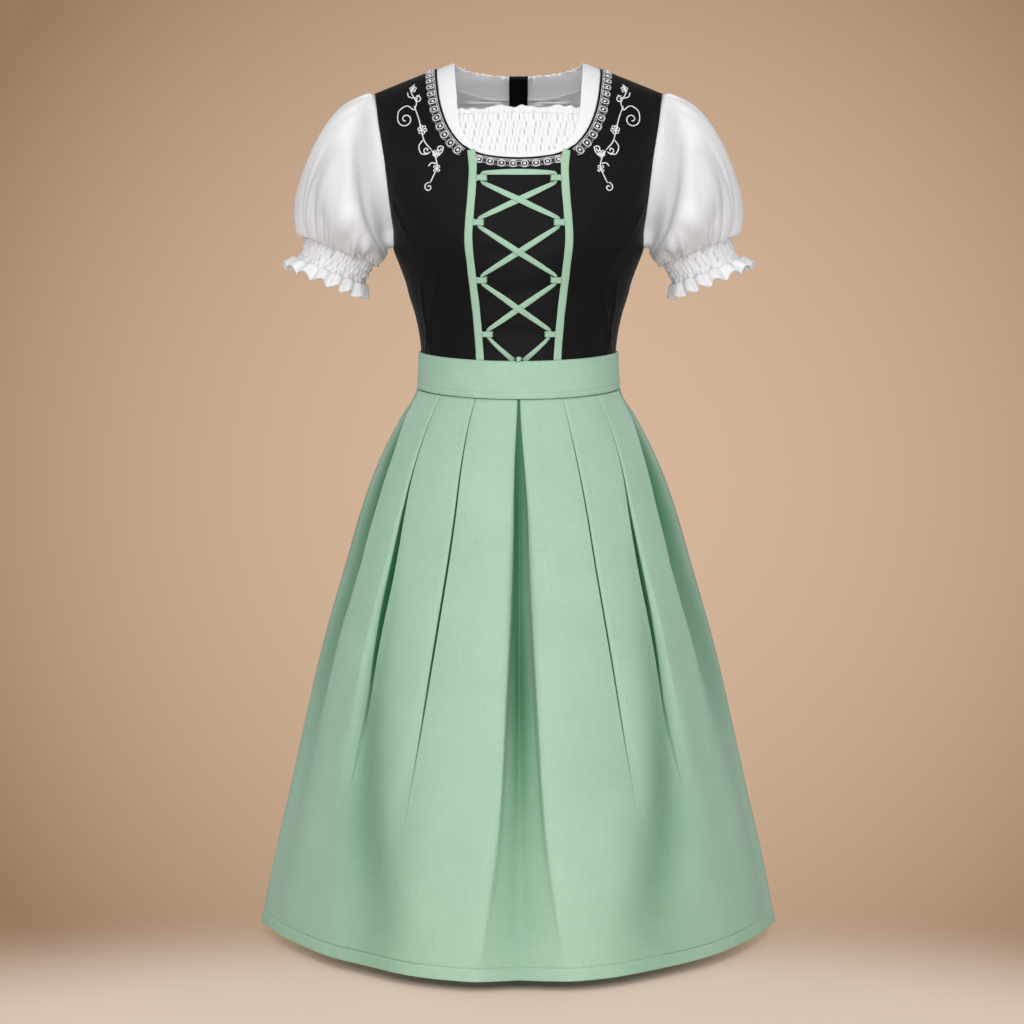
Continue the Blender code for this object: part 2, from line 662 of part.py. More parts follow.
def waistband(side):
    angle = np.linspace(-SEAM, SEAM, WAISTBAND_COLUMNS + 1)
    turn = angle if side < 0 else math.pi - angle
    share = np.linspace(0, 1, 3)[:, None]
    z = waist_z(turn) + (waistband_foot_z(turn) - waist_z(turn)) * share
    row = row_at(0.0, z)
    grid = torso(side, np.broadcast_to(angle, z.shape), row, BAND_CLEAR + BAND_WALL)
    grid[:, [0, -1], 1] += side * SEAM_SHIFT
    name = "waistband_front" if side < 0 else "waistband_back"
    sheet(name, grid, mint_cloth, BAND_WALL, flip=side > 0)


def skirt_face(side, angle, z, out):
    """Points of a skirt section, moved out level from it."""
    share = np.clip((z - SKIRT[0].z) / (HEM_Z - SKIRT[0].z), 0, 1)
    crease = HEM_CREASE * share**1.5
    width = smooth(SKIRT, "z", "half_width", z)
    depth = smooth(SKIRT, "z", "front" if side < 0 else "back", z)

    def ring(a):
        return width * np.sin(a), depth * girth(a, crease)

    x, y = ring(angle)
    (x0, y0), (x1, y1) = ring(angle - 1e-3), ring(angle + 1e-3)
    along = np.hypot(x1 - x0, y1 - y0)
    x = x - out * (y1 - y0) / along
    y = y + out * (x1 - x0) / along
    return np.stack([x, side * y, z], axis=-1)


def turned(length, z):
    """The angle in degrees that a length along the skirt's section takes at one height."""
    return math.degrees(length / (float(smooth(SKIRT, "z", "half_width", z)) * 0.95))


def fold_edge(fold, z):
    """Columns of a fold whose edge looks to the middle: under it, its wall, its edge, its round."""
    columns = [
        Column(fold.angle - edging.behind * fold.step, -edging.sunk * fold.depth, edging.soft)
        for edging in FOLD_EDGE
    ]
    return columns + [Column(fold.angle + turned(CREST_ROUND, z), CREST_OUT, 1.0)]


def panel_columns(start, end, sink, count):
    """Columns between two folds, sinking from one to the other."""
    made = []
    for i in range(1, count + 1):
        t = i / (count + 1)
        made.append(Column(start + (end - start) * t, sink(t), -math.sin(math.pi * t)))
    return made


def fold_at(table, z, step_most=1.0):
    """A fold at one height, its step in degrees."""
    angle, depth, step = (float(smooth(table, "z", key, z)) for key in ("angle", "depth", "step"))
    return Fold(z, angle, depth, min(turned(step, z), step_most * angle))


def fold_columns(z):
    """Angle, depth and soft-fold share of each column in a quarter of the skirt, at one height."""
    centre = fold_at(CENTRE_PLEAT, z, 0.6)
    columns = [Column(0.0, -centre.depth, CENTRE_SOFT), *fold_edge(centre, z)]
    power = float(smooth(PANEL_SINK, "z", "power", z))
    for table in (INNER_PLEAT, OUTER_PLEAT):
        fold = fold_at(table, z)
        end = fold.angle - fold.step
        columns += panel_columns(columns[-1].angle, end, lambda t: -fold.depth * t**power, 2)
        columns += fold_edge(fold, z)
    side = fold_at(SIDE_PLEAT, z)
    away = [c._replace(angle=2 * side.angle - c.angle) for c in fold_edge(side, z)[::-1]]
    columns += panel_columns(columns[-1].angle, away[0].angle, lambda t: 0.0, 2)
    columns += away
    columns += panel_columns(away[-1].angle, 90.0, lambda t: side.depth * ((1 - SEAM_SINK) * t - 1), 1)
    columns.append(Column(90.0, -side.depth * SEAM_SINK, SEAM_SOFT))
    return columns


def skirt_half(side):
    """Half the skirt: a row of its grid for each height, mirrored about the centre pleat."""
    band_foot = WAIST_SIDE_Z - WAISTBAND_HEIGHT
    rows = []
    for t in SKIRT_ROWS:
        # The waist isn't level, so each column's height is found from its angle at the band.
        columns = fold_columns(band_foot + (HEM_Z - band_foot) * t)
        angle = np.radians([column.angle for column in columns])
        top = waistband_foot_z(angle if side < 0 else math.pi - angle) - GAP
        z = top + (HEM_Z - top) * t
        soft = np.clip((SOFT_TOP_Z - z) / (SOFT_TOP_Z - HEM_Z), 0, 1)
        out = np.array([column.out for column in columns])
        out = out + SOFT_OUT * soft * np.array([column.soft for column in columns])
        out = out + WAIST_OUT * (1 - min(t / WAIST_OUT_END, 1))
        points = skirt_face(side, angle, z, out)
        points[-1, 1] += side * (FLAT_SHIFT + HEM_SEAM_SHIFT * t)
        rows.append(np.concatenate([mirrored(points[1:], False)[::-1], points]))
    name = "skirt_front" if side < 0 else "skirt_back"
    sheet(name, np.array(rows), mint_cloth, WALL, flip=side > 0)


# Trims on the front


def ribbon_grid(x, z, out, width):
    """A flat strip along a path on the front, as a grid two points wide."""
    centre = torso_xz(-1, x, z, out)
    along = np.gradient(centre, axis=0)
    lifted = torso_xz(-1, x, z, out + 0.001) - centre
    across = np.cross(lifted, along)
    across /= np.linalg.norm(across, axis=-1, keepdims=True)
    half = np.asarray(width)[:, None] / 2 * across
    return np.stack([centre - half, centre + half], axis=1)


def front_strap(left):
    top = NECKLINE[-1].z - STRAP_ENDS
    foot = float(waist_z(math.asin(STRAP_LINE[-2].x / WAIST_HALF_WIDTH))) + STRAP_ENDS
    z = np.linspace(top, foot, STRAP_ROWS + 1)
    grid = ribbon_grid(strap_x(z), z, TRIM_OUT + 0 * z, STRAP_WIDTH + 0 * z)
    name = "front_strap_left" if left else "front_strap_right"
    sheet(name, mirrored(grid, left), mint_cloth, FINE_WALL, flip=not left)


def loop_centre_x(z):
    return float(strap_x(z)) - STRAP_WIDTH / 2 - GAP - LOOP_LENGTH / 2


def lacing_loop(left, number):
    """A short band that arches over the ribbon, from the strap's edge inward."""
    z0 = LOOP_HEIGHTS[number - 1]
    start = loop_centre_x(z0) - LOOP_LENGTH / 2
    share = np.array([place.along for place in LOOP_PROFILE])
    rise = np.array([place.height for place in LOOP_PROFILE])
    z = z0 + np.array([[0.5], [-0.5]]) * LOOP_WIDTH
    x = start + share * LOOP_LENGTH + 0 * z
    out = TRIM_OUT + (LOOP_TOP - TRIM_OUT) * rise + 0 * z
    grid = torso_xz(-1, x, z, out)
    side = "left" if left else "right"
    name = f"lacing_loop_{side}_{number}"
    sheet(name, mirrored(grid, left), mint_cloth, FINE_WALL, flip=not left)


def ribbon_path():
    """Places, heights and widths along the lacing, from one end at the waist to the other."""
    edge_z = float(waist_z(0.0))

    def waist_end(hand):
        places = (edge_z + RIBBON_END_UP, edge_z + RIBBON_END_TURN)
        return [(hand * RIBBON_END_X, z, RIBBON_LOW, RIBBON_END_WIDTH) for z in places]

    path = waist_end(-1)
    for number, stop in enumerate(STOPS):
        middle = LOOP_HEIGHTS[stop.loop - 1]
        x = stop.hand * loop_centre_x(middle)
        reach = RIBBON_PAST_LOOP if number < len(STOPS) / 2 else -RIBBON_PAST_LOOP
        ends = [middle - reach, middle + reach]
        if stop.loop == 1:
            ends[stop.strand != "level"] = TOP_RUN_Z
        path += strand(path[-1][:2], (x, ends[0]), stop.strand)
        path += [(x, z, RIBBON_LOW, RIBBON_IN_LOOP) for z in ends]
    return corner_cut(np.array(path + waist_end(1)[::-1]))


def strand(start, end, kind):
    """Points on the ribbon between two loops; it rises where it crosses over the other strand."""
    if kind == "end":
        return []
    start, end = np.array(start), np.array(end)
    along = (end - start) / np.linalg.norm(end - start)
    height = RIBBON_HIGH if kind == "over" else RIBBON_LOW
    places = (-CROSS_END, -CROSS_REACH, CROSS_REACH, CROSS_END)
    outs = (RIBBON_LOW, height, height, RIBBON_LOW)
    return [(*((start + end) / 2 + at * along), out, RIBBON_WIDTH) for at, out in zip(places, outs)]


def corner_cut(path):
    """The path with each corner cut at a quarter of its two sides."""
    head = path[:-1] * 0.75 + path[1:] * 0.25
    tail = path[:-1] * 0.25 + path[1:] * 0.75
    inner = np.stack([head, tail], axis=1).reshape(-1, path.shape[1])
    return np.concatenate([path[:1], inner[1:-1], path[-1:]])


def lacing_ribbon():
    path = ribbon_path()
    grid = ribbon_grid(path[:, 0], path[:, 1], path[:, 2], path[:, 3])
    sheet("lacing_ribbon", grid, mint_cloth, RIBBON_THICK, flip=True)


def lacing_knot():
    """The small knot of the lacing on the waistband's edge."""
    mesh = bpy.data.meshes.new("lacing_knot")
    shape = bmesh.new()
    bmesh.ops.create_uvsphere(shape, u_segments=KNOT_SEGMENTS, v_segments=KNOT_RINGS, radius=1)
    centre = torso_xz(-1, 0.0, float(waist_z(0.0)) + KNOT_UP, KNOT_OUT)
    bmesh.ops.scale(shape, vec=KNOT_SIZE, verts=shape.verts)
    bmesh.ops.translate(shape, vec=centre, verts=shape.verts)
    shape.to_mesh(mesh)
    shape.free()
    add_object("lacing_knot", mesh, mint_cloth)


def neckline_path(edges, reach, spacing):
    """Places along a neckline edge at even distances, within a range of distances from the middle."""
    steps = np.arange(len(edges), dtype=float)
    fine = np.linspace(0, len(edges) - 1, 400)
    x = hermite(steps, np.array([edge.x for edge in edges]), fine)
    z = hermite(steps, np.array([edge.z for edge in edges]), fine)
    kept = (x >= reach[0]) & (x <= reach[1])
    x, z = x[kept], z[kept]
    points = torso_xz(-1, x, z)
    length = np.concatenate([[0], np.cumsum(np.linalg.norm(np.diff(points, axis=0), axis=1))])
    count = max(1, round(length[-1] / spacing))
    at = np.linspace(0, length[-1], 4 * count + 1)
    return np.interp(at, length, x), np.interp(at, length, z)


def lace_grid(x, z, fit):
    """A scalloped strip outside a neckline edge whose places run towards +X."""
    on_edge = torso_xz(-1, x, z)
    normal = torso_xz(-1, x, z, 0.001) - on_edge
    away = np.cross(np.gradient(on_edge, axis=0), normal)
    away /= np.linalg.norm(away, axis=-1, keepdims=True)
    phase = np.arange(len(x)) * math.pi / 2
    outer = LACE_IN + LACE_WIDTH + SCALLOP * 0.5 * (1 - np.cos(phase))
    strips = np.stack([on_edge + away * LACE_IN, on_edge + away * outer[:, None]])
    return torso_xz(-1, fit(strips[..., 0], strips[..., 2]), strips[..., 2], TRIM_OUT)


def lace_side(left):
    x, z = neckline_path(NECKLINE, (NECKLINE[-1].x + LACE_CLEAR, NECKLINE[0].x), SCALLOP_PITCH)
    grid = lace_grid(x[::-1], z[::-1], lambda x, z: np.maximum(x, strap_x(z) + LACE_CLEAR))
    grid[:, -1, 1] -= SEAM_SHIFT
    name = "neck_lace_left" if left else "neck_lace_right"
    sheet(name, mirrored(grid, left), silver_lace, FINE_WALL, flip=not left)


def lace_centre():
    x, z = neckline_path(NECKLINE_CENTRE, (0, NECKLINE[-1].x - LACE_CLEAR), SCALLOP_PITCH)
    x, z = np.concatenate([-x, x[-2::-1]]), np.concatenate([z, z[-2::-1]])

    def fit(x, z):
        most = strap_x(z) - LACE_CLEAR
        return np.clip(x, -most, most)

    sheet("neck_lace_centre", lace_grid(x, z, fit), silver_lace, FINE_WALL)


def back_tab():
    """The black tab that folds over the back neck band at its centre."""
    x = np.linspace(-TAB_HALF, TAB_HALF, 4)
    inside_z = np.linspace(TAB_INSIDE_Z, TAB_TOP_Z, 4)[:, None]
    outside_z = np.linspace(TAB_TOP_Z, TAB_OUTSIDE_Z, 4)[:, None]
    reach = FINE_WALL + TAB_CLEAR
    inside = torso_xz(1, x, inside_z, NECK_BAND_OUT[1] - reach - FINE_WALL)
    outside = torso_xz(1, x, outside_z, NECK_BAND_OUT[1] + reach)
    crest = (inside[-1] + outside[0]) / 2 + np.array([0, 0, TAB_CREST])
    sheet("back_neck_tab", np.concatenate([inside, crest[None], outside]), black_cloth, FINE_WALL)


# Sleeves


def armhole_ring(turns, within, beyond, out):
    """The armhole as a ring of points: 0 is the shoulder, pi the underarm, and sine > 0 the front.

    The ring is shrunk by `within`, and moved away from the body by `beyond`.
    """
    top, foot = ARMHOLE_FRONT[0].z, UNDERARM_Z
    points = []
    for turn in turns:
        z = top + (foot - top) * (1 - math.cos(turn)) / 2
        side = -1 if math.sin(turn) >= 0 else 1
        table = ARMHOLE_FRONT if side < 0 else ARMHOLE_BACK
        x = float(smooth(table, "z", "x", z))
        points.append(torso_xz(side, x, z, out))
    points = np.array(points)
    inward = points.mean(axis=0) - points
    inward[:, 0] = 0
    inward /= np.linalg.norm(inward, axis=1, keepdims=True)
    return points + inward * within + np.array([beyond, 0, 0])


def ring_of(row, turns):
    top = np.array([row.top_x, 0.0, row.top_z])
    low = np.array([row.low_x, 0.0, row.low_z])
    centre, reach = (top + low) / 2, (top - low) / 2
    front = np.array([0.0, -row.half_depth, 0.0])
    return centre + np.cos(turns)[:, None] * reach + np.sin(turns)[:, None] * front


def loft(rings, places, at):
    """Rings between given rings, on smooth curves through them."""
    stacked = np.array(rings)
    flat = stacked.reshape(len(rings), -1)
    columns = [hermite(places, flat[:, i], at) for i in range(flat.shape[1])]
    return np.stack(columns, axis=1).reshape(len(at), *stacked.shape[1:])


def ring_normals(grid):
    across = np.roll(grid, -1, axis=1) - np.roll(grid, 1, axis=1)
    down = np.gradient(grid, axis=0)
    normal = np.cross(down, across)
    return normal / np.linalg.norm(normal, axis=-1, keepdims=True)


def sleeve(left):
    """The puff: from the armhole, out and down to the cuff, gathered at both."""
    turns = np.arange(SLEEVE_COLUMNS) * 2 * math.pi / SLEEVE_COLUMNS
    rings = [armhole_ring(turns, head.within, head.beyond, head.out) for head in SLEEVE_HEAD]
    rings += [ring_of(puff, turns) for puff in PUFF]
    places = np.array([row.place for row in (*SLEEVE_HEAD, *PUFF)])
    at = np.array(SLEEVE_ROWS)
    grid = loft(rings, places, at)
    at_head = np.exp(-(((at - HEAD_GATHER_PLACE) / HEAD_GATHER_SPREAD) ** 2))
    at_cuff = np.exp(-(((at - CUFF_GATHER_PLACE) / CUFF_GATHER_SPREAD) ** 2))
    gathered = at_head + CUFF_GATHER_SHARE * at_cuff
    gathered[[0, -1]] = 0
    wave = GATHER_OUT * gathered[:, None] * np.cos(turns * GATHERS)
    grid = grid + wave[..., None] * ring_normals(grid)
    name = "sleeve_left" if left else "sleeve_right"
    sheet(name, mirrored(grid, left), white_cloth, FINE_WALL, flip=not left, closed=True)


def cuff(left):
    """Elastic shirring, and the ruffle below it."""
    count = RUFFLE_WAVES * WAVE_COLUMNS
    turns = np.arange(count) * 2 * math.pi / count
    grid = np.array([ring_of(row, turns) for row in CUFF])
    ruffle = np.cos(turns * RUFFLE_WAVES)
    shirring = np.where(np.arange(count) % 2 == 0, 1.0, -1.0)
    out = np.array([row.wave * ruffle + row.shirr * shirring for row in CUFF])
    grid = grid + out[..., None] * ring_normals(grid)
    name = "sleeve_cuff_left" if left else "sleeve_cuff_right"
    sheet(name, mirrored(grid, left), white_cloth, FINE_WALL, flip=not left, closed=True)


def clear_scene():
    for item in list(bpy.data.objects):
        bpy.data.objects.remove(item, do_unlink=True)


def main():
    clear_scene()
    bpy.context.scene.collection.children.link(bpy.data.collections.new(GARMENT))
    for left in (True, False):
        bodice_front(left)
        bodice_back(left)
        front_strap(left)
        lace_side(left)
        sleeve(left)
        cuff(left)
        for number in range(1, len(LOOP_HEIGHTS) + 1):
            lacing_loop(left, number)
    bodice_centre()
    for side in (-1, 1):
        blouse_body(side)
        neck_band(side)
        waistband(side)
        skirt_half(side)
    smocked_front()
    lacing_ribbon()
    lacing_knot()
    lace_centre()
    back_tab()


main()
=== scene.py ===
"""The looks of the dirndl dress with its puff-sleeve blouse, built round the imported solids.

Metres, in the frame of the solids: +Z up, the front faces -Y, and +X is the wearer's left. Each
cloth is a thin shell on the form of its solid, with the seams, folds and stitches added.
"""

import math
from collections import namedtuple

import bmesh
import bpy
import numpy as np
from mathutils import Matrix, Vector


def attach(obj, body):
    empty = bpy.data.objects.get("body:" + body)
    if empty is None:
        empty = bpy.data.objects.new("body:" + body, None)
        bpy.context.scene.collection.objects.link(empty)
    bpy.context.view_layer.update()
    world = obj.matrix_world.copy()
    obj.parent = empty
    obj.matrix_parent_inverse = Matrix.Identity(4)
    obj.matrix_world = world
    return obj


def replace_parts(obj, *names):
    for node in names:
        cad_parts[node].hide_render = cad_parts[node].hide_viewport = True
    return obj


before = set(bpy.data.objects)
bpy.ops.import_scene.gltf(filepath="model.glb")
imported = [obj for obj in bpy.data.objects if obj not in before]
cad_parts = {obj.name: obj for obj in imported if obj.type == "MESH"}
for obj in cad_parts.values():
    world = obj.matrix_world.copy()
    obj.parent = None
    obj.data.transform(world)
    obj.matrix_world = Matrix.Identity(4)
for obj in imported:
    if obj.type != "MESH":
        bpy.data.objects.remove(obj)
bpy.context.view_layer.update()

# Cloth and clearances
FINE_WALL = 0.0010  # blouse cloth, straps and ribbon
BAND_WALL = 0.0020  # the waistband is two layers and an interlining
GAP = 0.0003  # between two sewn pieces
NECK_BAND_OUT = {-1: -0.0036, 1: -0.0048}  # in front and behind
TRIM_OUT = 0.0019  # outer face of what lies on the bodice

# Torso: the levels are heights on the centre line, and above BUST_Z they bend down to the shoulders
BUST_Z = -0.225
NECK_TOP = 0.0251  # where the shoulder lines would meet above the neck hole
SHOULDER_SLOPE = 0.40
NECK_ROUND = 0.020
GIRTH_POWER = 2.3  # 2 is an ellipse, and more is squarer
ROW_DROP = 0.200  # height of one row unit below the bust
SEAM = math.pi / 2  # the side seam's angle from the middle

WAIST_HALF_WIDTH = 0.1244
Girth = namedtuple("Girth", "z half_width front back")
TORSO = (
    Girth(-0.4400, 0.1285, 0.0985, 0.0900),
    Girth(-0.4120, 0.1264, 0.0962, 0.0872),
    Girth(-0.3720, WAIST_HALF_WIDTH, 0.0945, 0.0850),
    Girth(-0.3450, 0.1272, 0.0985, 0.0855),
    Girth(-0.3220, 0.1320, 0.1035, 0.0870),
    Girth(-0.2880, 0.1411, 0.1120, 0.0915),
    Girth(-0.2585, 0.1519, 0.1200, 0.0975),
    Girth(-0.2385, 0.1593, 0.1245, 0.1015),
    Girth(-0.2120, 0.1620, 0.1260, 0.1045),
    Girth(-0.1850, 0.1690, 0.1260, 0.1060),
    Girth(-0.1350, 0.1815, 0.1260, 0.1070),
    Girth(-0.0550, 0.1925, 0.1260, 0.1070),
    Girth(0.0251, 0.1950, 0.1260, 0.1070),
)
CUP_X, CUP_Z = 0.078, -0.218  # fullest point of each cup
CUP_OUT, CUP_SPREAD = 0.007, 0.042

# Cut edges, each from the shoulder down, as places seen from the front
Edge = namedtuple("Edge", "x z")
NECKLINE = (
    Edge(0.1040, -0.0093),
    Edge(0.1015, -0.0324),
    Edge(0.0971, -0.0589),
    Edge(0.0898, -0.0811),
    Edge(0.0796, -0.0990),
    Edge(0.0658, -0.1131),
    Edge(0.0587, -0.1172),
)
NECKLINE_CENTRE = (
    Edge(0.0587, -0.1172),
    Edge(0.0484, -0.1214),
    Edge(0.0235, -0.1259),
    Edge(0.0000, -0.1272),
)
STRAP_LINE = (
    Edge(0.0587, -0.1172),
    Edge(0.0566, -0.1358),
    Edge(0.0571, -0.1583),
    Edge(0.0605, -0.2016),
    Edge(0.0619, -0.2237),
    Edge(0.0581, -0.2666),
    Edge(0.0519, -0.3223),
    Edge(0.0481, -0.3760),
    Edge(0.0475, -0.3950),
)
ARMHOLE_FRONT = (
    Edge(0.1840, -0.0409),
    Edge(0.1775, -0.0754),
    Edge(0.1730, -0.1014),
    Edge(0.1645, -0.1580),
    Edge(0.1610, -0.1950),
    Edge(0.1588, -0.2250),
    Edge(0.1589, -0.2340),
    Edge(0.1593, -0.2385),
)
ARMHOLE_BACK = (
    Edge(0.1840, -0.0409),
    Edge(0.1800, -0.0754),
    Edge(0.1760, -0.1100),
    Edge(0.1690, -0.1580),
    Edge(0.1630, -0.1950),
    Edge(0.1592, -0.2250),
    Edge(0.1590, -0.2340),
    Edge(0.1593, -0.2385),
)
BACK_NECKLINE = (
    Edge(0.1040, -0.0093),
    Edge(0.1000, -0.0165),
    Edge(0.0850, -0.0270),
    Edge(0.0600, -0.0355),
    Edge(0.0300, -0.0392),
    Edge(0.0000, -0.0400),
)
UNDERARM_Z = -0.2385

# Blouse neck band: its outer edge is under the bodice, its inner edge is the neck opening or the smocking
Band = namedtuple("Band", "out_x out_z in_x in_z")
NECK_BAND_FRONT = (
    Band(0.1070, -0.0110, 0.0818, -0.0006),
    Band(0.1045, -0.0340, 0.0799, -0.0244),
    Band(0.1000, -0.0605, 0.0779, -0.0457),
    Band(0.0925, -0.0835, 0.0765, -0.0640),
    Band(0.0820, -0.1015, 0.0712, -0.0905),
    Band(0.0675, -0.1158, 0.0590, -0.1070),
    Band(0.0495, -0.1243, 0.0440, -0.1165),
    Band(0.0240, -0.1290, 0.0225, -0.1212),
    Band(0.0000, -0.1302, 0.0000, -0.1225),
)
NECK_BAND_BACK = (
    Band(0.1070, -0.0110, 0.0818, -0.0006),
    Band(0.1030, -0.0205, 0.0780, -0.0028),
    Band(0.0865, -0.0315, 0.0660, -0.0065),
    Band(0.0600, -0.0400, 0.0450, -0.0100),
    Band(0.0300, -0.0436, 0.0220, -0.0119),
    Band(0.0000, -0.0445, 0.0000, -0.0125),
)
BLOUSE_HEM_Z = -0.275
SMOCK_TOP_SIDE_Z, SMOCK_TOP_CENTRE_Z = -0.0600, -0.0580
SMOCK_SIDE_BAND = 3  # the row of the neck band's table at the panel's sides

# Waistband and trims
WAIST_SIDE_Z, WAIST_DIP = -0.3688, 0.0105
WAISTBAND_HEIGHT, WAISTBAND_DIP = 0.0460, 0.0012
BAND_CLEAR = 0.0008  # the waistband's inner face, from the bodice
TUCK = 0.006  # how far the bodice runs down behind the waistband
STRAP_WIDTH = 0.0098
STRAP_ENDS = 0.0006  # from a strap's ends to the neckline and the waistband
LACE_IN, LACE_WIDTH, SCALLOP, SCALLOP_PITCH = 0.0028, 0.0075, 0.0023, 0.0130
LACE_CLEAR = STRAP_WIDTH / 2 + 0.0006
LOOP_HEIGHTS = (-0.1533, -0.2072, -0.2765, -0.3445)
LOOP_LENGTH, LOOP_WIDTH = 0.0120, 0.0076
LOOP_TOP = 0.0041  # outer face of a loop over the ribbon
Rise = namedtuple("Rise", "along height")
LOOP_PROFILE = (Rise(0, 0), Rise(0.10, 0.8), Rise(0.28, 1), Rise(0.72, 1), Rise(0.90, 0.8), Rise(1, 0))
RIBBON_LOW, RIBBON_HIGH = 0.0017, 0.0032  # outer face on the panel, and where it crosses over
CROSS_REACH = 0.0105  # how far an upper strand lies high, to each side of a crossing
RIBBON_END_X, RIBBON_END_WIDTH = 0.0062, 0.0067
RIBBON_END_UP = 0.0010  # over the waistband's edge
Stop = namedtuple("Stop", "hand loop strand")
# The loops in the ribbon's order, and how the strand before each one lies
STOPS = (
    Stop(-1, 4, "end"),
    Stop(1, 3, "under"),
    Stop(-1, 2, "over"),
    Stop(1, 1, "under"),
    Stop(-1, 1, "level"),
    Stop(1, 2, "over"),
    Stop(-1, 3, "under"),
    Stop(1, 4, "over"),
)
KNOT_SIZE = (0.0052, 0.0020, 0.0045)  # half its width, depth and height
KNOT_UP, KNOT_OUT = 0.0055, 0.0046  # its centre, over the waistband's edge and out from the bodice
TAB_HALF, TAB_CLEAR = 0.0125, 0.0005
TAB_TOP_Z, TAB_INSIDE_Z, TAB_OUTSIDE_Z = -0.0128, -0.0430, -0.0372
TAB_CREST = 0.0022  # its fold, over the neck band's edge

# Skirt
HEM_Z = -1.115
HEM_CREASE = 0.38  # how much the front and back meet in a blunt edge at the hem's sides
SKIRT = (
    Girth(-0.4100, 0.1262, 0.0965, 0.0875),
    Girth(-0.4260, 0.1335, 0.1010, 0.0940),
    Girth(-0.4451, 0.1475, 0.1115, 0.1050),
    Girth(-0.4684, 0.1615, 0.1235, 0.1185),
    Girth(-0.4955, 0.1758, 0.1355, 0.1330),
    Girth(-0.5240, 0.1890, 0.1465, 0.1460),
    Girth(-0.5630, 0.2035, 0.1590, 0.1600),
    Girth(-0.6489, 0.2284, 0.1820, 0.1830),
    Girth(-0.7588, 0.2577, 0.2100, 0.2110),
    Girth(-0.8443, 0.2765, 0.2310, 0.2310),
    Girth(-0.9328, 0.2954, 0.2520, 0.2510),
    Girth(-1.0151, 0.3144, 0.2720, 0.2700),
    Girth(-1.1165, 0.3350, 0.2950, 0.2920),
)
# The four folds of a quarter, as degrees from the middle at each height
Fold = namedtuple("Fold", "z angle")
CENTRE_PLEAT = (
    Fold(-0.4271, 0.9),
    Fold(-0.5200, 2.3),
    Fold(-0.6300, 2.8),
    Fold(-0.7800, 3.9),
    Fold(-0.9450, 5.4),
    Fold(-1.1150, 9.2),
)
INNER_PLEAT = (
    Fold(-0.4271, 24.2),
    Fold(-0.5500, 24.0),
    Fold(-0.6900, 25.6),
    Fold(-0.8200, 27.2),
    Fold(-0.9500, 29.0),
    Fold(-1.1150, 30.5),
)
OUTER_PLEAT = (
    Fold(-0.4271, 48.0),
    Fold(-0.5500, 44.8),
    Fold(-0.6900, 46.0),
    Fold(-0.8200, 46.3),
    Fold(-0.9200, 47.0),
    Fold(-1.1150, 49.0),
)
SIDE_PLEAT = (
    Fold(-0.4271, 76.0),
    Fold(-0.4800, 65.0),
    Fold(-0.5400, 60.8),
    Fold(-0.6100, 60.8),
    Fold(-0.7200, 65.0),
    Fold(-0.8500, 68.0),
    Fold(-1.1150, 70.0),
)
CREST_OUT = 0.0006  # rise of a pressed edge
WAIST_OUT, WAIST_OUT_END = 0.0024, 0.03  # how far the top edge stands out, and where that ends
SOFT_TOP_Z = -0.62  # below here the pleats open into soft folds

# Sleeves
Head = namedtuple("Head", "place within beyond out")
Puff = namedtuple("Puff", "place top_x top_z low_x low_z half_depth")
PUFF = (
    Puff(1.0, 0.2060, -0.0458, 0.1660, -0.2445, 0.0800),
    Puff(2.0, 0.2340, -0.0650, 0.1700, -0.2490, 0.0950),
    Puff(3.0, 0.2590, -0.1024, 0.1735, -0.2520, 0.0985),
    Puff(4.0, 0.2746, -0.1463, 0.1770, -0.2540, 0.0930),
    Puff(5.0, 0.2806, -0.1900, 0.1800, -0.2550, 0.0790),
    Puff(5.6, 0.2775, -0.2130, 0.1820, -0.2558, 0.0640),
    Puff(6.0, 0.2741, -0.2219, 0.1830, -0.2568, 0.0545),
)
Cuff = namedtuple("Cuff", "top_x top_z low_x low_z half_depth wave")  # the last is the ruffle's waves
CUFF = (
    Cuff(0.2743, -0.2225, 0.1834, -0.2574, 0.0530, 0.0),
    Cuff(0.2758, -0.2290, 0.1860, -0.2625, 0.0500, 0.0),
    Cuff(0.2818, -0.2436, 0.1945, -0.2775, 0.0490, 0.0006),
    Cuff(0.2915, -0.2510, 0.1950, -0.2890, 0.0545, 0.0030),
    Cuff(0.3010, -0.2575, 0.1955, -0.3000, 0.0600, 0.0050),
)
RUFFLE_WAVES = 15

# Points of the panels: rows above the neck's corner, beside the armhole and below it, and columns
Counts = namedtuple("Counts", "above beside below across")
ROWS_CLOSER = 1.35  # power by which rows come closer together downwards

# Shells and their finest forms
SHELL = 0.0007  # drawn thickness of the cloth, inward from its outer face
FINE_SHELL = 0.0005
BAND_SHELL = 0.0016
SKIRT_SHELL = 0.0008
LOOP_SHELL, RIBBON_SHELL, NET_SHELL = 0.0006, 0.0005, 0.0003
PANEL_GAP = 0.00008  # each side of a seam between flat panels
RIM_WIDTH = 0.004  # how far the look of an edge reaches in
LIFT = 0.001  # a step off the bodice, to find which way is out
# Sewing: from stitch to stitch, half a stitch's length, and its half thickness
Sewing = namedtuple("Sewing", "pitch half thick")
NECK_SEWING = Sewing(0.0030, 0.0010, 0.00018)
STRAP_SEWING = Sewing(0.0026, 0.0010, 0.00020)
HEM_SEWING = Sewing(0.0036, 0.0014, 0.00030)
SEWN_OUT = 0.0001  # a stitch's middle, over the cloth
# A stitch's faces: corner 0 is its head, 5 its tail, and the others lie round its middle
SPINDLE = ((0, 1, 2), (0, 2, 3), (0, 3, 4), (0, 4, 1), (5, 2, 1), (5, 3, 2), (5, 4, 3), (5, 1, 4))
# Uneven waves: their rate, and how far and how often their spacing wanders, in radians
Ripple = namedtuple("Ripple", "rate sway wander lag start", defaults=(0.0, 0.0))
# Slow waves over two measures: their share, their rate along each, and their start in radians
Wave = namedtuple("Wave", "share along across start")

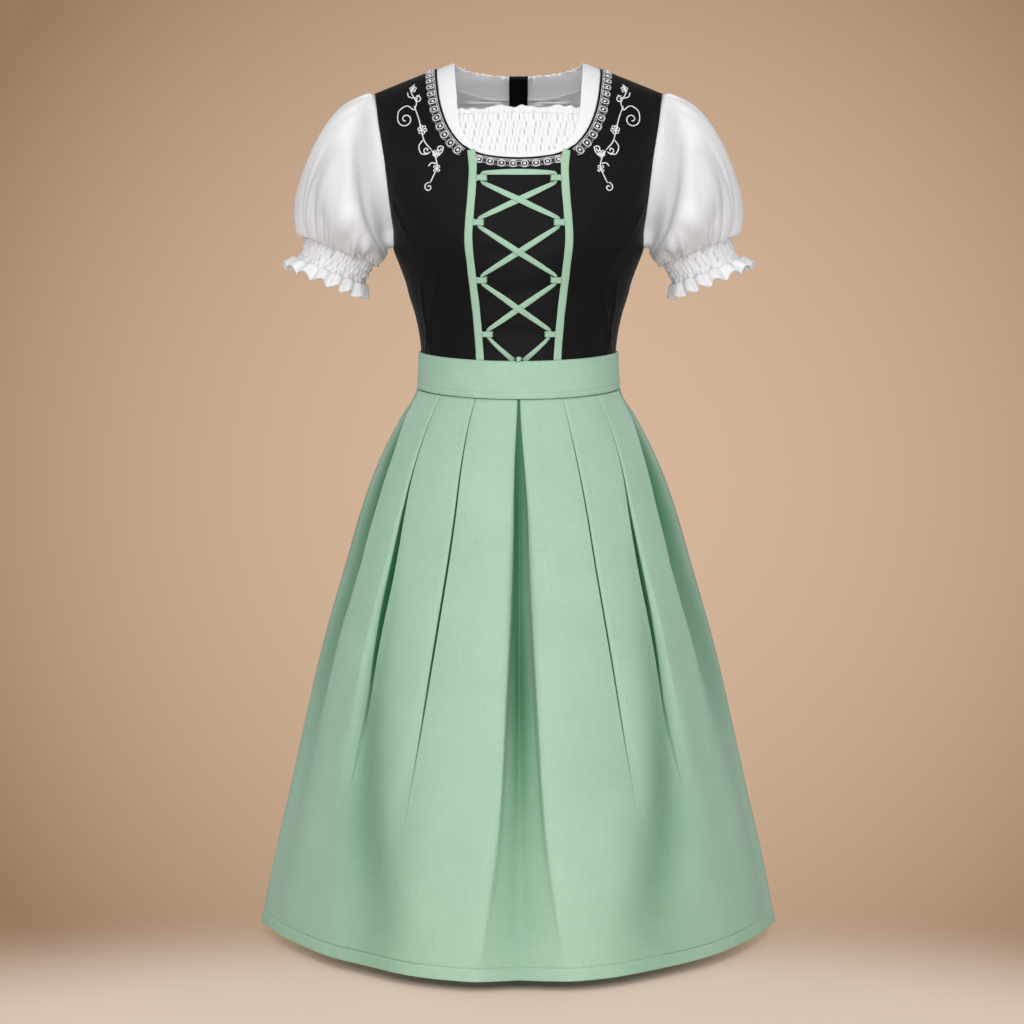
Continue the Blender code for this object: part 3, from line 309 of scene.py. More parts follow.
# Both ways round the garment: True is the wearer's left, and -1 is the front
HANDS = {True: "left", False: "right"}
FACES = {-1: "front", 1: "back"}
ARMHOLES = {-1: ARMHOLE_FRONT, 1: ARMHOLE_BACK}
NECK_BANDS = {-1: NECK_BAND_FRONT, 1: NECK_BAND_BACK}
BLOUSE_PAINTS = {-1: "white", 1: "white_lit_back"}  # behind, a lighter copy of the white: painted light on the inside of the back
FINE_COUNTS = Counts(24, 44, 44, 44)
BLOUSE_COUNTS = Counts(16, 30, 10, 84)

# Seams and creases of the bodice, as places seen from the front: how far they bow, and their half
# width, the length over which their ends fade, and their depth
Line = namedtuple("Line", "start end bow width fade depth")
BODICE_SEAMS = (
    Line((0.1560, -0.1870), (0.1290, -0.2410), 0.0010, 0.0016, 0.004, 0.00204),
    Line((0.1225, -0.2820), (0.1105, -0.3720), 0.0012, 0.0016, 0.006, 0.00204),
    Line((0.0955, -0.2600), (0.1165, -0.3600), 0.0020, 0.0016, 0.006, 0.00187),
)
BODICE_CREASES = (
    Line((0.0400, -0.2280), (-0.0350, -0.2420), 0.0060, 0.0080, 0.020, 0.00168),
    Line((0.0330, -0.1650), (-0.0200, -0.1850), -0.0050, 0.0090, 0.020, 0.00108),
    Line((-0.0380, -0.3050), (0.0260, -0.2900), 0.0040, 0.0080, 0.020, 0.00132),
    Line((-0.0300, -0.3400), (0.0340, -0.3520), 0.0030, 0.0070, 0.020, 0.00108),
    Line((0.1400, -0.2950), (0.0900, -0.3150), 0.0060, 0.0100, 0.020, 0.00132),
    Line((-0.1350, -0.3000), (-0.0880, -0.3280), -0.0060, 0.0100, 0.020, 0.00132),
    Line((0.1560, -0.1500), (0.1300, -0.1900), 0.0050, 0.0110, 0.020, 0.00156),
    Line((-0.1560, -0.1450), (-0.1250, -0.1960), -0.0050, 0.0110, 0.020, 0.00156),
)
BACK_SEAMS = (
    Line((0.0820, -0.1900), (0.0560, -0.3720), 0.0060, 0.0011, 0.006, 0.0008),
    Line((0.1620, -0.1500), (0.0820, -0.1900), 0.0080, 0.0011, 0.006, 0.0008),
)

# Blouse
BODY_OUT = -0.0016
BODY_SINK = 0.0022  # how much further in the body lies under the bodice
BODY_UNDER_BAND = 0.0030  # how far the body runs up behind the neck band
GATHER_SINK = 0.0040  # depth of the gathers under the neck band
GATHER_FADE = 0.03  # height over which the gathers fade and the body sinks
GATHER_SIDE_X, GATHER_SIDE_FADE = 0.105, 0.02  # where they end towards the armholes
BODY_GATHERS = Ripple(1 / 0.0042, 2.2, 1 / 0.021)
BAND_ROUND = 0.0005  # rise of the neck band between its edges
BAND_SEWN = {-1: 0.90, 1: 0.86}  # the share of its width at which it is sewn down
BAND_UNSEWN = 8  # points left unsewn at its ends
# The back neck's frill: the share of the band that it takes, where it starts, and its waves
BACK_FRILL, BACK_FRILL_FROM, BACK_FRILL_FADE = 0.14, 0.7, 0.6
BACK_FRILL_OUT, BACK_FRILL_UP, BACK_FRILL_FINE = 0.0011, 0.0007, 0.0004
BACK_FRILL_OUT_WAVES, BACK_FRILL_UP_WAVES = Ripple(13, 2.4, 4.3), Ripple(11, 2.2, 3.7)
NECK_BAND_FINE = {-1: -0.0014, 1: -0.0030}
Fine = namedtuple("Fine", "across down")
SMOCK_FINE = Fine(350, 80)
BAND_FINE = Fine(160, 16)
WAIST_FINE = Fine(120, 40)
SMOCK_PITCH, SMOCK_ROW, SMOCK_FRILL = 0.0058, 0.0098, 0.0085
SMOCK_LOWER = 0.0040  # how far the frill's edge has slipped down
SMOCK_UNDER = 0.0035  # how far the panel runs under the neck band
SMOCK_HIDE_Z = -0.066
SMOCK_OUT, SMOCK_HEIGHT = -0.0038, 0.0028
SMOCK_LEAST = 0.006  # the panel's least height, at its sides
SMOCK_SIDE = 0.008  # how far its covered sides reach in
SMOCK_FADE, SMOCK_FOOT_FADE = 0.006, 0.004  # lengths over which it flattens where it is covered
FRILL_LOOSE, FRILL_EDGE = 0.0015, 0.0018  # how far the free frill waves out and up
FRILL_WAVES = Ripple(1 / 0.0046, 2.0, 1 / 0.017, start=0.6)
FRILL_EDGE_WAVES = (
    Ripple(1 / 0.0075, 2.1, 1 / 0.019, start=-SEAM),
    Ripple(1 / 0.0031, 1.9, 1 / 0.011, start=-SEAM),
)
SMOCK_BEND = (Wave(0.25, 71, 0, 0), Wave(0.15, 160, 0, 1.3), Wave(0.05, 300, 5, 0))
SMOCK_SEEDS = (5, 6)  # of the puffs and of the gathers above them
# Shirring: the rows that get a random shift, and its size as a share of a puff
SHIRR_ROWS, SHIRR_SHIFT = 64, 0.32
# A slit's width at its ends and how much more it is half way, as shares of a puff, and its depth
SLIT_WIDTH, SLIT_GAPE, SLIT_DEEP = 0.04, 0.11, 0.9
THREAD_SHARE, THREAD_DEEP = 0.14, 0.12  # the share of a row that its elastic draws in, and how deep

# Waistband: the rise between its edges, the edge's round, its sewn groove, puckers and slack
BAND_RISE, BAND_EDGE, BAND_EDGE_SHARE = 0.0003, 0.0012, 0.012
BAND_GROOVE, BAND_GROOVE_WIDTH, BAND_GROOVE_DEEP = 0.86, 0.014, 0.0008
BAND_PUCKER, BAND_PUCKER_AT, BAND_PUCKER_WIDTH = 0.0002, 0.93, 0.12
BAND_PUCKER_WAVES = Ripple(23, 2.0, 7, start=-SEAM)
BAND_SLACK = 0.0007

# Skirt
SKIRT_FINE_ROWS, PANEL_POINTS = 104, 18
DRAPE_OUT = 0.0022
DRAPE_WAVES = (Wave(1, 5, 9, 0), Wave(0.7, 11, -6, 1.7), Wave(0.5, 19, 3, 0.6))
SOFT_BASE = 0.0020  # the lower skirt stands out this much more than its section
SKIRT_CLOSER = 1.15  # power by which rows come closer together upwards
# Points across one fold's edge, and across a wall that is one unit wide
FOLD_POINTS = np.array((-0.0005, 0.0, 0.0001, 0.0003, 0.0006))
WALL_POINTS = np.array((-1.0, -0.4, 0.0, 0.5, 1.0, 1.5))
CENTRE_WALL, SIDE_WALL = 0.0015, 0.0020  # the widest that the walls' points reach
# The last is the width over which a fold's painted shade fades at its gap's edges
LEAST_GAP, GAPE_EDGE, SHADE_EDGE = 0.0013, 0.0006, 0.0001  # of a fold, and its edges' widths
CREST_WIDTH, CREST_FADE = 0.003, 0.006  # a pressed edge's width, and the depth below which it fades
# How each pleat opens: the gap at its fold and its depth, then the soft trough, its two widths
# and how far it has slid towards the middle
Open = namedtuple("Open", "z gap deep trough inner outer slide")
INNER_OPEN = (
    Open(-0.42, 0.0016, 0.0090, 0.0002, 0.004, 0.0008, 0.0),
    Open(-0.53, 0.0030, 0.0130, 0.0004, 0.006, 0.0008, 0.0),
    Open(-0.62, 0.0036, 0.0150, 0.0008, 0.010, 0.0008, 0.0),
    Open(-0.72, 0.0036, 0.0120, 0.0016, 0.016, 0.0014, 0.0),
    Open(-0.80, 0.0030, 0.0080, 0.0026, 0.024, 0.0040, 0.0),
    Open(-0.88, 0.0020, 0.0024, 0.0036, 0.034, 0.0100, 0.0),
    Open(-0.95, 0.0013, 0.0, 0.0036, 0.036, 0.0240, 0.0),
    Open(-1.04, 0.0013, 0.0, 0.0010, 0.036, 0.0360, 0.0),
    Open(-1.115, 0.0013, 0.0, 0.0, 0.036, 0.0400, 0.0),
)
OUTER_OPEN = (
    Open(-0.42, 0.0016, 0.0090, 0.0002, 0.004, 0.0008, 0.0),
    Open(-0.53, 0.0042, 0.0190, 0.0006, 0.006, 0.0008, 0.0),
    Open(-0.60, 0.0085, 0.0230, 0.0016, 0.008, 0.0008, 0.0),
    Open(-0.66, 0.0105, 0.0210, 0.0040, 0.014, 0.0010, 0.0),
    Open(-0.72, 0.0085, 0.0150, 0.0080, 0.022, 0.0014, 0.0),
    Open(-0.79, 0.0060, 0.0080, 0.0125, 0.028, 0.0034, 0.0),
    Open(-0.86, 0.0030, 0.0020, 0.0150, 0.034, 0.0140, 0.010),
    Open(-0.95, 0.0013, 0.0, 0.0150, 0.040, 0.0320, 0.036),
    Open(-1.04, 0.0013, 0.0, 0.0120, 0.044, 0.0400, 0.074),
    Open(-1.115, 0.0013, 0.0, 0.0060, 0.048, 0.0460, 0.092),
)
# The pleats that open from one edge: their depth, the share of it that is a step, and the edge's round
Mouth = namedtuple("Mouth", "z deep step round")
CENTRE_MOUTH = (
    Mouth(-0.42, 0.0060, 0.90, 0.0005),
    Mouth(-0.53, 0.0200, 0.80, 0.0005),
    Mouth(-0.63, 0.0290, 0.65, 0.0006),
    Mouth(-0.78, 0.0360, 0.50, 0.0012),
    Mouth(-0.87, 0.0330, 0.40, 0.0016),
    Mouth(-0.95, 0.0270, 0.28, 0.0030),
    Mouth(-1.04, 0.0200, 0.18, 0.0045),
    Mouth(-1.115, 0.0110, 0.10, 0.0060),
)
SIDE_MOUTH = (
    Mouth(-0.42, 0.0060, 1.0, 0.0006),
    Mouth(-0.48, 0.0200, 1.0, 0.0008),
    Mouth(-0.54, 0.0300, 1.0, 0.0010),
    Mouth(-0.62, 0.0300, 1.0, 0.0022),
    Mouth(-0.70, 0.0200, 1.0, 0.0080),
    Mouth(-0.78, 0.0110, 1.0, 0.0180),
    Mouth(-0.86, 0.0060, 1.0, 0.0300),
    Mouth(-1.115, 0.0020, 1.0, 0.0400),
)
SEAM_OUT = 0.0036  # how far the side seam lies in where the side pleat is deepest
HEM_CALM = 0.7  # share by which the hem is calmer than the cloth above
Shift = namedtuple("Shift", "centre inner outer side gap")
# How far each side's folds lie from the even places, in degrees, and how much wider they gape
PLEAT_SHIFT = {-1: Shift(-0.7, -0.9, 1.2, 1.6, 1.1), 1: Shift(0.7, 0.9, -1.2, -1.6, 0.9)}
SHIFT_FROM_Z, SHIFT_FULL_Z = -0.44, -0.58
HEM_CALM_HEIGHT = 0.16
# Heights over the hem of its stitches and of the rows of points round them
HEM_STITCH = 0.015
HEM_ABOVE = (0.0220, 0.0190, 0.0172, 0.0161, 0.0155)
HEM_BELOW = (0.0145, 0.0139, 0.0128, 0.0105, 0.0080, 0.0055, 0.0030, 0.0012, 0.0)
HEM_ROWS = (*HEM_ABOVE, HEM_STITCH, *HEM_BELOW)
HEM_ROWS_CLEAR = 0.003
HEM_LAYER, HEM_EDGE = 0.0004, 0.0014  # rise of the turned-up cloth, and half its edge's width
HEM_GROOVE, HEM_GROOVE_WIDTH = 0.0009, 0.0008
HEM_PUCKER, HEM_PUCKER_AT, HEM_PUCKER_WIDTH = 0.0005, 0.8 * HEM_STITCH, 0.008
HEM_PUCKER_WAVES = Ripple(110, 5, 13, start=-SEAM)
WAIST_GATHER, WAIST_GATHER_FADE = 0.0003, 0.03
WAIST_GATHER_WAVES = Ripple(90, 4, 17, start=-SEAM)
# The depths at which a fold's painted shade is darkest
FOLD_DEEPEST, TROUGH_DEEPEST = 0.012, 0.030
Shade = namedtuple("Shade", "z right left middle side")
# Painted shade: how deep the colour is at the centre pleat's two edges and in its middle, and behind the side
# fold; the two edges differ as a painted shadow of one edge
PLEAT_SHADE = (
    Shade(-0.42, 0.90, 0.90, 0.90, 0.90),
    Shade(-0.53, 0.95, 0.60, 1.00, 1.00),
    Shade(-0.65, 0.90, 0.25, 0.90, 0.75),
    Shade(-0.79, 0.50, 0.35, 0.95, 0.40),
    Shade(-0.87, 0.30, 0.28, 0.70, 0.15),
    Shade(-0.95, 0.22, 0.22, 0.48, 0.05),
    Shade(-1.04, 0.18, 0.18, 0.36, 0.0),
    Shade(-1.115, 0.10, 0.10, 0.20, 0.0),
)

# Sleeves
SLEEVE_HEAD_FINE = (
    Head(0.0, 0.0020, 0.0000, -0.0022),
    Head(0.2, 0.0016, 0.0004, -0.0008),
    Head(0.4, 0.0020, 0.0030, 0.0030),
)
SLEEVE_FINE = Fine(240, 64)
SLEEVE_END = PUFF[-1].place
SLEEVE_CLOSER = 0.35  # draws the rows together half way along
SLEEVE_ENDS = 0.3  # length over which the folds begin at each end
SLEEVE_SUNK, SLEEVE_SUNK_MOST = 0.008, 0.4  # the crease depth at which its painted shade would be full, and the most painted shade it takes
# Gathers at the cap: half the angle they take and its fade, and how far out they are
CAP_REACH, CAP_FADE, CAP_OUT, CAP_WIDE_OUT = 0.75, 0.16, 0.0013, 0.0010
CAP_WAVES = Ripple(44, 1.6, 5, lag=0.7)
CAP_WIDE_WAVES = Ripple(0.45 * CAP_WAVES.rate, 1.1, 3)
# Folds above the cuff: close ones of uneven length, and wide loose ones
CUFF_FOLDS, CUFF_FOLD_OUT = 26, 0.0080
CUFF_LOOSE_FOLDS = Ripple(0.4 * CUFF_FOLDS, 1.3, 3, lag=2.0)
CUFF_FOLD_REACH, CUFF_FOLD_VARIES, CUFF_LOOSE_REACH = 1.50, 0.55, 1.4
CUFF_LESS, CUFF_LESS_AT = 0.05, 5.3  # share by which the puff is shallower just above the cuff
HOLLOW_LESS = 0.09  # share by which the puff is shallower beside the armhole, to leave no hollow there
Crease = namedtuple("Crease", "turn place length width depth slant")
# The first three stand out: the puff is full beside the armhole
SLEEVE_CREASES = (
    Crease(125, 1.35, 1.00, 40, -0.0120, 0.0),
    Crease(75, 0.95, 0.70, 34, -0.0060, 0.0),
    Crease(-120, 1.30, 1.00, 40, -0.0085, 0.0),
    Crease(70, 3.4, 1.3, 16, 0.0075, 0.05),
    Crease(100, 4.2, 1.1, 9, 0.0045, -0.10),
    Crease(45, 4.4, 1.0, 9, 0.0042, 0.08),
    Crease(20, 4.6, 0.9, 8, 0.0039, 0.02),
    Crease(130, 4.0, 1.4, 12, 0.0060, -0.12),
    Crease(-60, 3.6, 1.2, 14, 0.0067, -0.05),
    Crease(-100, 4.3, 1.1, 10, 0.0048, 0.10),
    Crease(-25, 4.5, 0.9, 9, 0.0039, -0.04),
    Crease(-140, 3.9, 1.2, 12, 0.0054, 0.10),
)
CUFF_FINE = Fine(400, 48)
CUFF_SEEDS = {True: 11, False: 12}
CUFF_BEND = (Wave(0.3, 6, 0, 1.0), Wave(0.1, 17, 0, 0), Wave(0.05, 9, 5, 0))
RUFFLE_WARP = (Wave(0.9, 3, 0, 1.1), Wave(0.5, 5, 0, 2.0))
CUFF_SHIRR_END, CUFF_SHIRR_ROWS, CUFF_PUCKERS, CUFF_PUFF_OUT = 2.45, 5, 42, 0.0032
CUFF_GATHER, CUFF_GATHER_FADE = 0.0011, 0.7
CUFF_GATHER_WAVES = Ripple(CUFF_PUCKERS / 2, 1.4, 5)
RUFFLE_FROM, RUFFLE_DROP, RUFFLE_EDGE = 2.4, 0.0022, 0.0004

# Straps and loops
STRAP_SUNK, STRAP_CROWN, STRAP_POINTS, STRAP_WAVER = 0.0004, 0.0005, 13, 0.0002
STRAP_SEWN_COLUMNS = (2, 10)
LOOP_SUNK, LOOP_ENDS = 0.0007, 0.0004  # how far its ends sink in, and reach under the strap
LOOP_PINCH, LOOP_FOLD, LOOP_SAG = 0.16, 0.00022, 0.0006

# Lacing
# How far it runs straight past a loop, and the height and arch of its level run at the top
ROUTE_PAST_LOOP, ROUTE_TOP_Z, ROUTE_TOP_ARCH = 0.0046, -0.1466, 0.0012
ROUTE_WIDE, ROUTE_NARROW = 0.0074, 0.0042
# Its points between two loops, as shares of the way
ROUTE_SHARES = (0.07, 0.20, 0.34, 0.45, 0.55, 0.66, 0.80, 0.93)
RIBBON_LIFT, RIBBON_CROWN, RIBBON_POINTS = 0.00025, 0.0004, 13
KNOT_SHARE, KNOT_DROP = 0.68, 0.0020  # the drawn knot against its solid
KNOT_CREASE, KNOT_GROOVE, KNOT_GROOVE_WIDTH = 0.07, 0.16, 0.22

# Lace and embroidery
PATH_PARTS, SCALLOP_PARTS = 4, 16  # points for each scallop, on the edge's path and on the lace
LACE_NET_OUT, LACE_THREAD_OUT = 0.0010, 0.0012
LACE_OVAL = 0.0080  # middles of the ovals, from the edge
OVAL_ACROSS, OVAL_OUT, OVAL_CORD = 0.31, 0.0038, 0.00060  # half its length in scallops, half its width
# The lace's cords: how far from its inner or outer edge, and their radius
Cord = namedtuple("Cord", "place radius")
INNER_CORDS = (Cord(0.0003, 0.00035), Cord(0.0026, 0.00030))
OUTER_CORD = Cord(0.0002, 0.00026)
ZIGZAG, ZIGZAG_REACH, ZIGZAG_TURNS = Cord(0.0004, 0.00018), 0.0021, 4
LACE_SIDE_WIDER = 1.28
BEAD_RADIUS, BEAD_FLAT, BEAD_HOLE = 0.0019, 0.72, 0.12  # its hole is an angle at its top
EMBROIDERY_OUT = 0.0005
STEM_RADIUS, PETAL_RADIUS = 0.00088, 0.00070
STEM_POINTS, CURL_POINTS, PETAL_POINTS = 40, 46, 15
CURL_IN, PETAL_SPREAD = 0.84, 0.30  # how far a curl winds in, and a petal's half width
TAPER_FROM, TAPER_POINTS = 0.45, 3  # the share of a thread's radius at its ends, and where it is full
# The embroidery's lines and places are millimetres seen from the front
STEMS = (
    ((131, -31), (135, -42), (128, -56), (131, -66)),
    ((131, -60), (125, -76), (121, -92), (117, -106), (108, -117)),
    ((131, -66), (140, -60), (150, -66), (152, -76)),
    ((124, -46), (130, -50), (138, -48), (140, -42)),
    ((108, -117), (103, -127), (101, -138), (106, -150), (110, -158)),
    ((119, -104), (124, -112), (121, -121), (113, -122)),
    ((104, -124), (96, -121), (93, -113)),
    ((102, -134), (108, -133), (112, -137)),
)
Curl = namedtuple("Curl", "x z radius turns start hand")
CURLS = (
    Curl(141.5, -77.0, 10.5, 1.35, 20, -1),
    Curl(126.5, -52.0, 5.0, 1.1, 60, 1),
    Curl(114.5, -117.0, 5.0, 1.1, 200, 1),
    Curl(97.5, -116.0, 4.5, 1.1, 160, -1),
    Curl(111.5, -163.0, 6.0, 1.25, 100, -1),
)
Flower = namedtuple("Flower", "x z size petals start")
FLOWERS = (
    Flower(133.0, -38.0, 4.4, 5, 20),
    Flower(120.0, -91.0, 5.6, 6, 10),
    Flower(102.0, -121.5, 4.6, 5, 50),
    Flower(101.5, -140.0, 4.6, 4, 45),
)

# Colours, linear
# A weave's thread spacing, the weft's against the warp's, and its strength
Weave = namedtuple("Weave", "pitch ratio strength")
# Each cloth's two tones, its edge's tone (a little wear and painted shade along seams and edges), and the
# deep tone of painted shade in its folds
Tones = namedtuple("Tones", "light dark edge deep")
MINT_TONES = Tones(
    light=(0.324, 0.500, 0.376),
    dark=(0.278, 0.452, 0.330),
    edge=(0.250, 0.425, 0.302),
    deep=(0.037, 0.173, 0.077),
)
BLACK_TONES = Tones(
    light=(0.0034, 0.0034, 0.0038),
    dark=(0.0047, 0.0047, 0.0050),
    edge=(0.0038, 0.0038, 0.0042),
    deep=(0.002, 0.002, 0.002),
)
WHITE_TONES = Tones(
    light=(0.76, 0.76, 0.78),
    dark=(0.73, 0.73, 0.75),
    edge=(0.70, 0.70, 0.72),
    deep=(0.43, 0.43, 0.46),
)
# A lighter copy of the white tones for the blouse behind: painted light on its inside
WHITE_LIT_BACK_TONES = Tones(
    light=(0.94, 0.94, 0.96),
    dark=(0.92, 0.92, 0.94),
    edge=(0.88, 0.88, 0.90),
    deep=(0.62, 0.62, 0.65),
)
NET_TONES = Tones(
    light=(0.008, 0.008, 0.008),
    dark=(0.016, 0.016, 0.016),
    edge=(0.05, 0.05, 0.05),
    deep=(0.008, 0.008, 0.008),
)
Paint = namedtuple("Paint", "tones rough weave sheen wrinkle metal gloss", defaults=(0.0, 0.0, 0.0, 0.5))
WHITE = Paint(WHITE_TONES, 0.80, Weave(0.00050, 1.0, 0.14), sheen=0.10, wrinkle=0.16, gloss=0.2)
PAINTS = {
    "mint": Paint(MINT_TONES, 0.46, Weave(0.00045, 0.5, 0.16), sheen=0.06, wrinkle=0.22, gloss=0.35),
    "black": Paint(BLACK_TONES, 0.50, Weave(0.00045, 0.5, 0.10), wrinkle=0.35, gloss=0.10),
    "white": WHITE,
    "white_lit_back": WHITE._replace(tones=WHITE_LIT_BACK_TONES),
    "net": Paint(NET_TONES, 0.50, Weave(0.00080, 1.0, 0.80), metal=0.2),
}
Thread = namedtuple("Thread", "colour rough metal twist")
THREADS = {
    "silver": Thread((0.86, 0.86, 0.85), 0.40, 0.10, 0.0012),
    "bead": Thread((0.88, 0.88, 0.87), 0.22, 0.30, 0.0100),
    "mint_thread": Thread((0.42, 0.69, 0.52), 0.5, 0.0, 0.0006),
    "white_thread": Thread(WHITE_TONES.light, 0.7, 0.0, 0.0006),
}
# A cloth's slow mottle, and its slubs drawn out along the weft and the warp
MOTTLE_SCALE, MOTTLE_DETAIL = 14.0, 4.0
SLUB_STRETCHES = ((700.0, 35.0, 1.0), (35.0, 700.0, 1.0))
SLUB_LOW, SLUB_HIGH = 1.15, 1.85
RIM_TINT = 0.12  # how much of its edge's tone a cloth takes: partly wear, partly painted shade at seams and edges
ROUGH_VARIES = 0.05
WAVE_SCALE, WEAVE_SWAY, WEAVE_DEEP = 0.314, 0.6, 0.0002  # the first makes a wave one metre long
WRINKLE_SCALE, WRINKLE_DEEP = 22.0, 0.004
TWIST_SCALE, TWIST_STRENGTH, TWIST_DEEP = 0.16, 0.6, 0.0004

# Studio
CAMERA_AT, CAMERA_DOWN, LENS = (-0.0084, -3.2, -0.3024), 4.886, 87.19
# The backdrop is lit in the middle and darker round it; its middle is a direction
BACKDROP, BACKDROP_EDGE = (0.665, 0.468, 0.328), (0.320, 0.199, 0.117)
BACKDROP_MIDDLE, BACKDROP_REACH = (0.0220, 0.9971, -0.0722), 15.8
AMBIENT, AMBIENT_POWER = (1.0, 0.99, 0.98), 0.40
FLOOR_Z, FLOOR_RADIUS, FLOOR_FADE = HEM_Z - 0.012, 2.0, (0.30, 0.78)
FLOOR_NEARER = 0.60  # how far in front of the garment the floor is brightest
FLOOR_LONGER = 0.55  # the floor's fade is this much slower sideways
FLOOR_COLOUR = (0.80, 0.64, 0.53)
Light = namedtuple("Light", "name place aim wide high power colour")
LIGHTS = (
    Light("key", (-2.3, -1.9, 0.45), (0, 0, -0.5), 1.3, 1.5, 16, (1.0, 0.99, 0.97)),
    Light("fill", (2.3, -1.9, 0.35), (0, 0, -0.5), 1.3, 1.5, 14, (1.0, 0.99, 0.98)),
    Light("front", (0.0, -3.1, 0.80), (0, 0, -0.3), 1.2, 0.8, 25, (1.0, 0.99, 0.98)),
    Light("low", (0.0, -2.6, -0.95), (0, 0, -0.4), 1.6, 0.4, 23, (1.0, 0.98, 0.95)),
    Light("top", (0.0, -1.3, 1.9), (0, 0, -0.4), 2.0, 1.2, 18, (1.0, 0.99, 0.98)),
    Light("rim_left", (-1.8, 1.8, 0.6), (0, 0, -0.4), 0.9, 1.4, 6, (1.0, 0.99, 0.98)),
    Light("rim_right", (1.8, 1.8, 0.6), (0, 0, -0.4), 0.9, 1.4, 6, (1.0, 0.99, 0.98)),
)


def smooth(rows, key, value, at):
    """A column of a table at places between its rows, on a smooth curve through them."""
    places = np.array([getattr(row, key) for row in rows], float)
    values = np.array([getattr(row, value) for row in rows], float)
    if places[0] > places[-1]:
        places, values = places[::-1], values[::-1]
    return hermite(places, values, at)


def hermite(places, values, at):
    slopes = np.gradient(values, places)
    at = np.clip(np.asarray(at, float), places[0], places[-1])
    low = np.clip(np.searchsorted(places, at) - 1, 0, len(places) - 2)
    step = places[low + 1] - places[low]
    t = (at - places[low]) / step
    rise = (3 - 2 * t) * t * t
    pull = step * t * (1 - t) * (slopes[low] * (1 - t) - slopes[low + 1] * t)
    return values[low] + (values[low + 1] - values[low]) * rise + pull


def curve(rows, at, places=None):
    """Rows of numbers between given rows, on smooth curves; a place is a row's number unless given."""
    rows = np.array(rows, float)
    places = np.arange(len(rows), dtype=float) if places is None else places
    return np.stack([hermite(places, column, at) for column in rows.T], axis=-1)


def between(start, end, share):
    return start + (end - start) * share


def hill(value):
    """A bell curve: 1 at 0, and near 0 from 2 on."""
    return np.exp(-(value**2))


def rippled(place, ripple):
    """Uneven waves between -1 and 1."""
    sway = ripple.sway * np.sin(place * ripple.wander + ripple.lag)
    return np.cos(place * ripple.rate + sway + ripple.start)


def waved(waves, along, across):
    """Slow waves laid over each other."""
    out = 0.0
    for wave in waves:
        out = out + wave.share * np.sin(wave.along * along + wave.across * across + wave.start)
    return out


def unit(vectors):
    """The vectors with a length of 1."""
    return vectors / np.maximum(np.linalg.norm(vectors, axis=-1, keepdims=True), 1e-12)


def lengths_along(points):
    """How far each point of a line is from its first one, along the line."""
    return np.concatenate([[0], np.cumsum(np.linalg.norm(np.diff(points, axis=0), axis=1))])


def along_line(at, lengths, points):
    """Points of a line, or its normals, at lengths along it."""
    return np.stack([np.interp(at, lengths, points[:, i]) for i in range(3)], axis=-1)


def shoulder_z(x):
    return NECK_TOP - SHOULDER_SLOPE * (np.sqrt(x * x + NECK_ROUND**2) - NECK_ROUND)


def row_at(x, z):
    """The row of the torso through a place seen from the front: 0 on the shoulder, 1 at the bust."""
    share = np.clip((z - BUST_Z) / (shoulder_z(x) - BUST_Z), 0, 1)
    return np.where(z > BUST_Z, np.arccos(share) / SEAM, 1 + (BUST_Z - z) / ROW_DROP)


def level_at(row):
    above = BUST_Z + (NECK_TOP - BUST_Z) * np.cos(row * SEAM)
    return np.where(row < 1, above, BUST_Z - (row - 1) * ROW_DROP)


def half_width_at(row):
    return smooth(TORSO, "z", "half_width", level_at(row))


def angle_at(x, row):
    return np.arcsin(np.clip(x / half_width_at(row), -1, 1))


def girth(angle, crease=0.0):
    """Depth of a section at an angle from its middle, signed past the side seam."""
    inside = np.clip(1 - np.abs(np.sin(angle)) ** GIRTH_POWER, 0, 1)
    return np.sign(np.cos(angle)) * inside ** (0.5 + crease)


def torso_face(side, angle, row):
    """A point of the torso's outer face; side is -1 in front and +1 behind."""
    level = level_at(row)
    x = half_width_at(row) * np.sin(angle)
    share = np.cos(row * SEAM)
    z = np.where(row < 1, BUST_Z + (shoulder_z(x) - BUST_Z) * share, level)
    roll = np.where(row < 1, np.sin(row * SEAM), 1)
    depth = smooth(TORSO, "z", "front" if side < 0 else "back", level)
    y = depth * roll * girth(angle)
    if side < 0:
        apart = ((np.abs(x) - CUP_X) ** 2 + (z - CUP_Z) ** 2) / CUP_SPREAD**2
        y = y + CUP_OUT * np.exp(-apart) * girth(angle)
    return np.stack(np.broadcast_arrays(x, side * y, z), axis=-1)


def outward(face, angle, row, out):
    """Points of a face moved out along its normals."""
    step = 1e-4
    across = face(angle + step, row) - face(angle - step, row)
    down = face(angle, row + step) - face(angle, row - step)
    return face(angle, row) + np.asarray(out)[..., None] * unit(np.cross(across, down))


def torso(side, angle, row, out=0.0):
    """Points on the torso, moved out from the bodice's outer face."""
    angle, row = np.broadcast_arrays(np.asarray(angle, float), np.asarray(row, float))
    out = np.broadcast_to(np.asarray(out, float), angle.shape)
    return outward(lambda a, r: torso_face(side, a, r), angle, row, side * out)


def torso_xz(side, x, z, out=0.0):
    x, z = np.broadcast_arrays(np.asarray(x, float), np.asarray(z, float))
    row = row_at(x, z)
    return torso(side, angle_at(x, row), row, out)


def front_face(x, z, out):
    """Points off the bodice's front, and the ways straight out there."""
    points = torso_xz(-1, x, z, out)
    return points, unit(torso_xz(-1, x, z, out + LIFT) - points)


def from_front(side, angle):
    """The angle round the garment: 0 in front and pi behind."""
    return angle if side < 0 else math.pi - angle


def waist_z(angle):
    """Top edge of the waistband, which dips at the front; the angle is 0 there and pi behind."""
    return WAIST_SIDE_Z - WAIST_DIP * np.clip(np.cos(angle), 0, 1) ** 1.3


def waistband_foot_z(angle):
    dip = WAISTBAND_DIP * np.clip(np.cos(angle), 0, 1)
    return waist_z(angle) - WAISTBAND_HEIGHT - dip


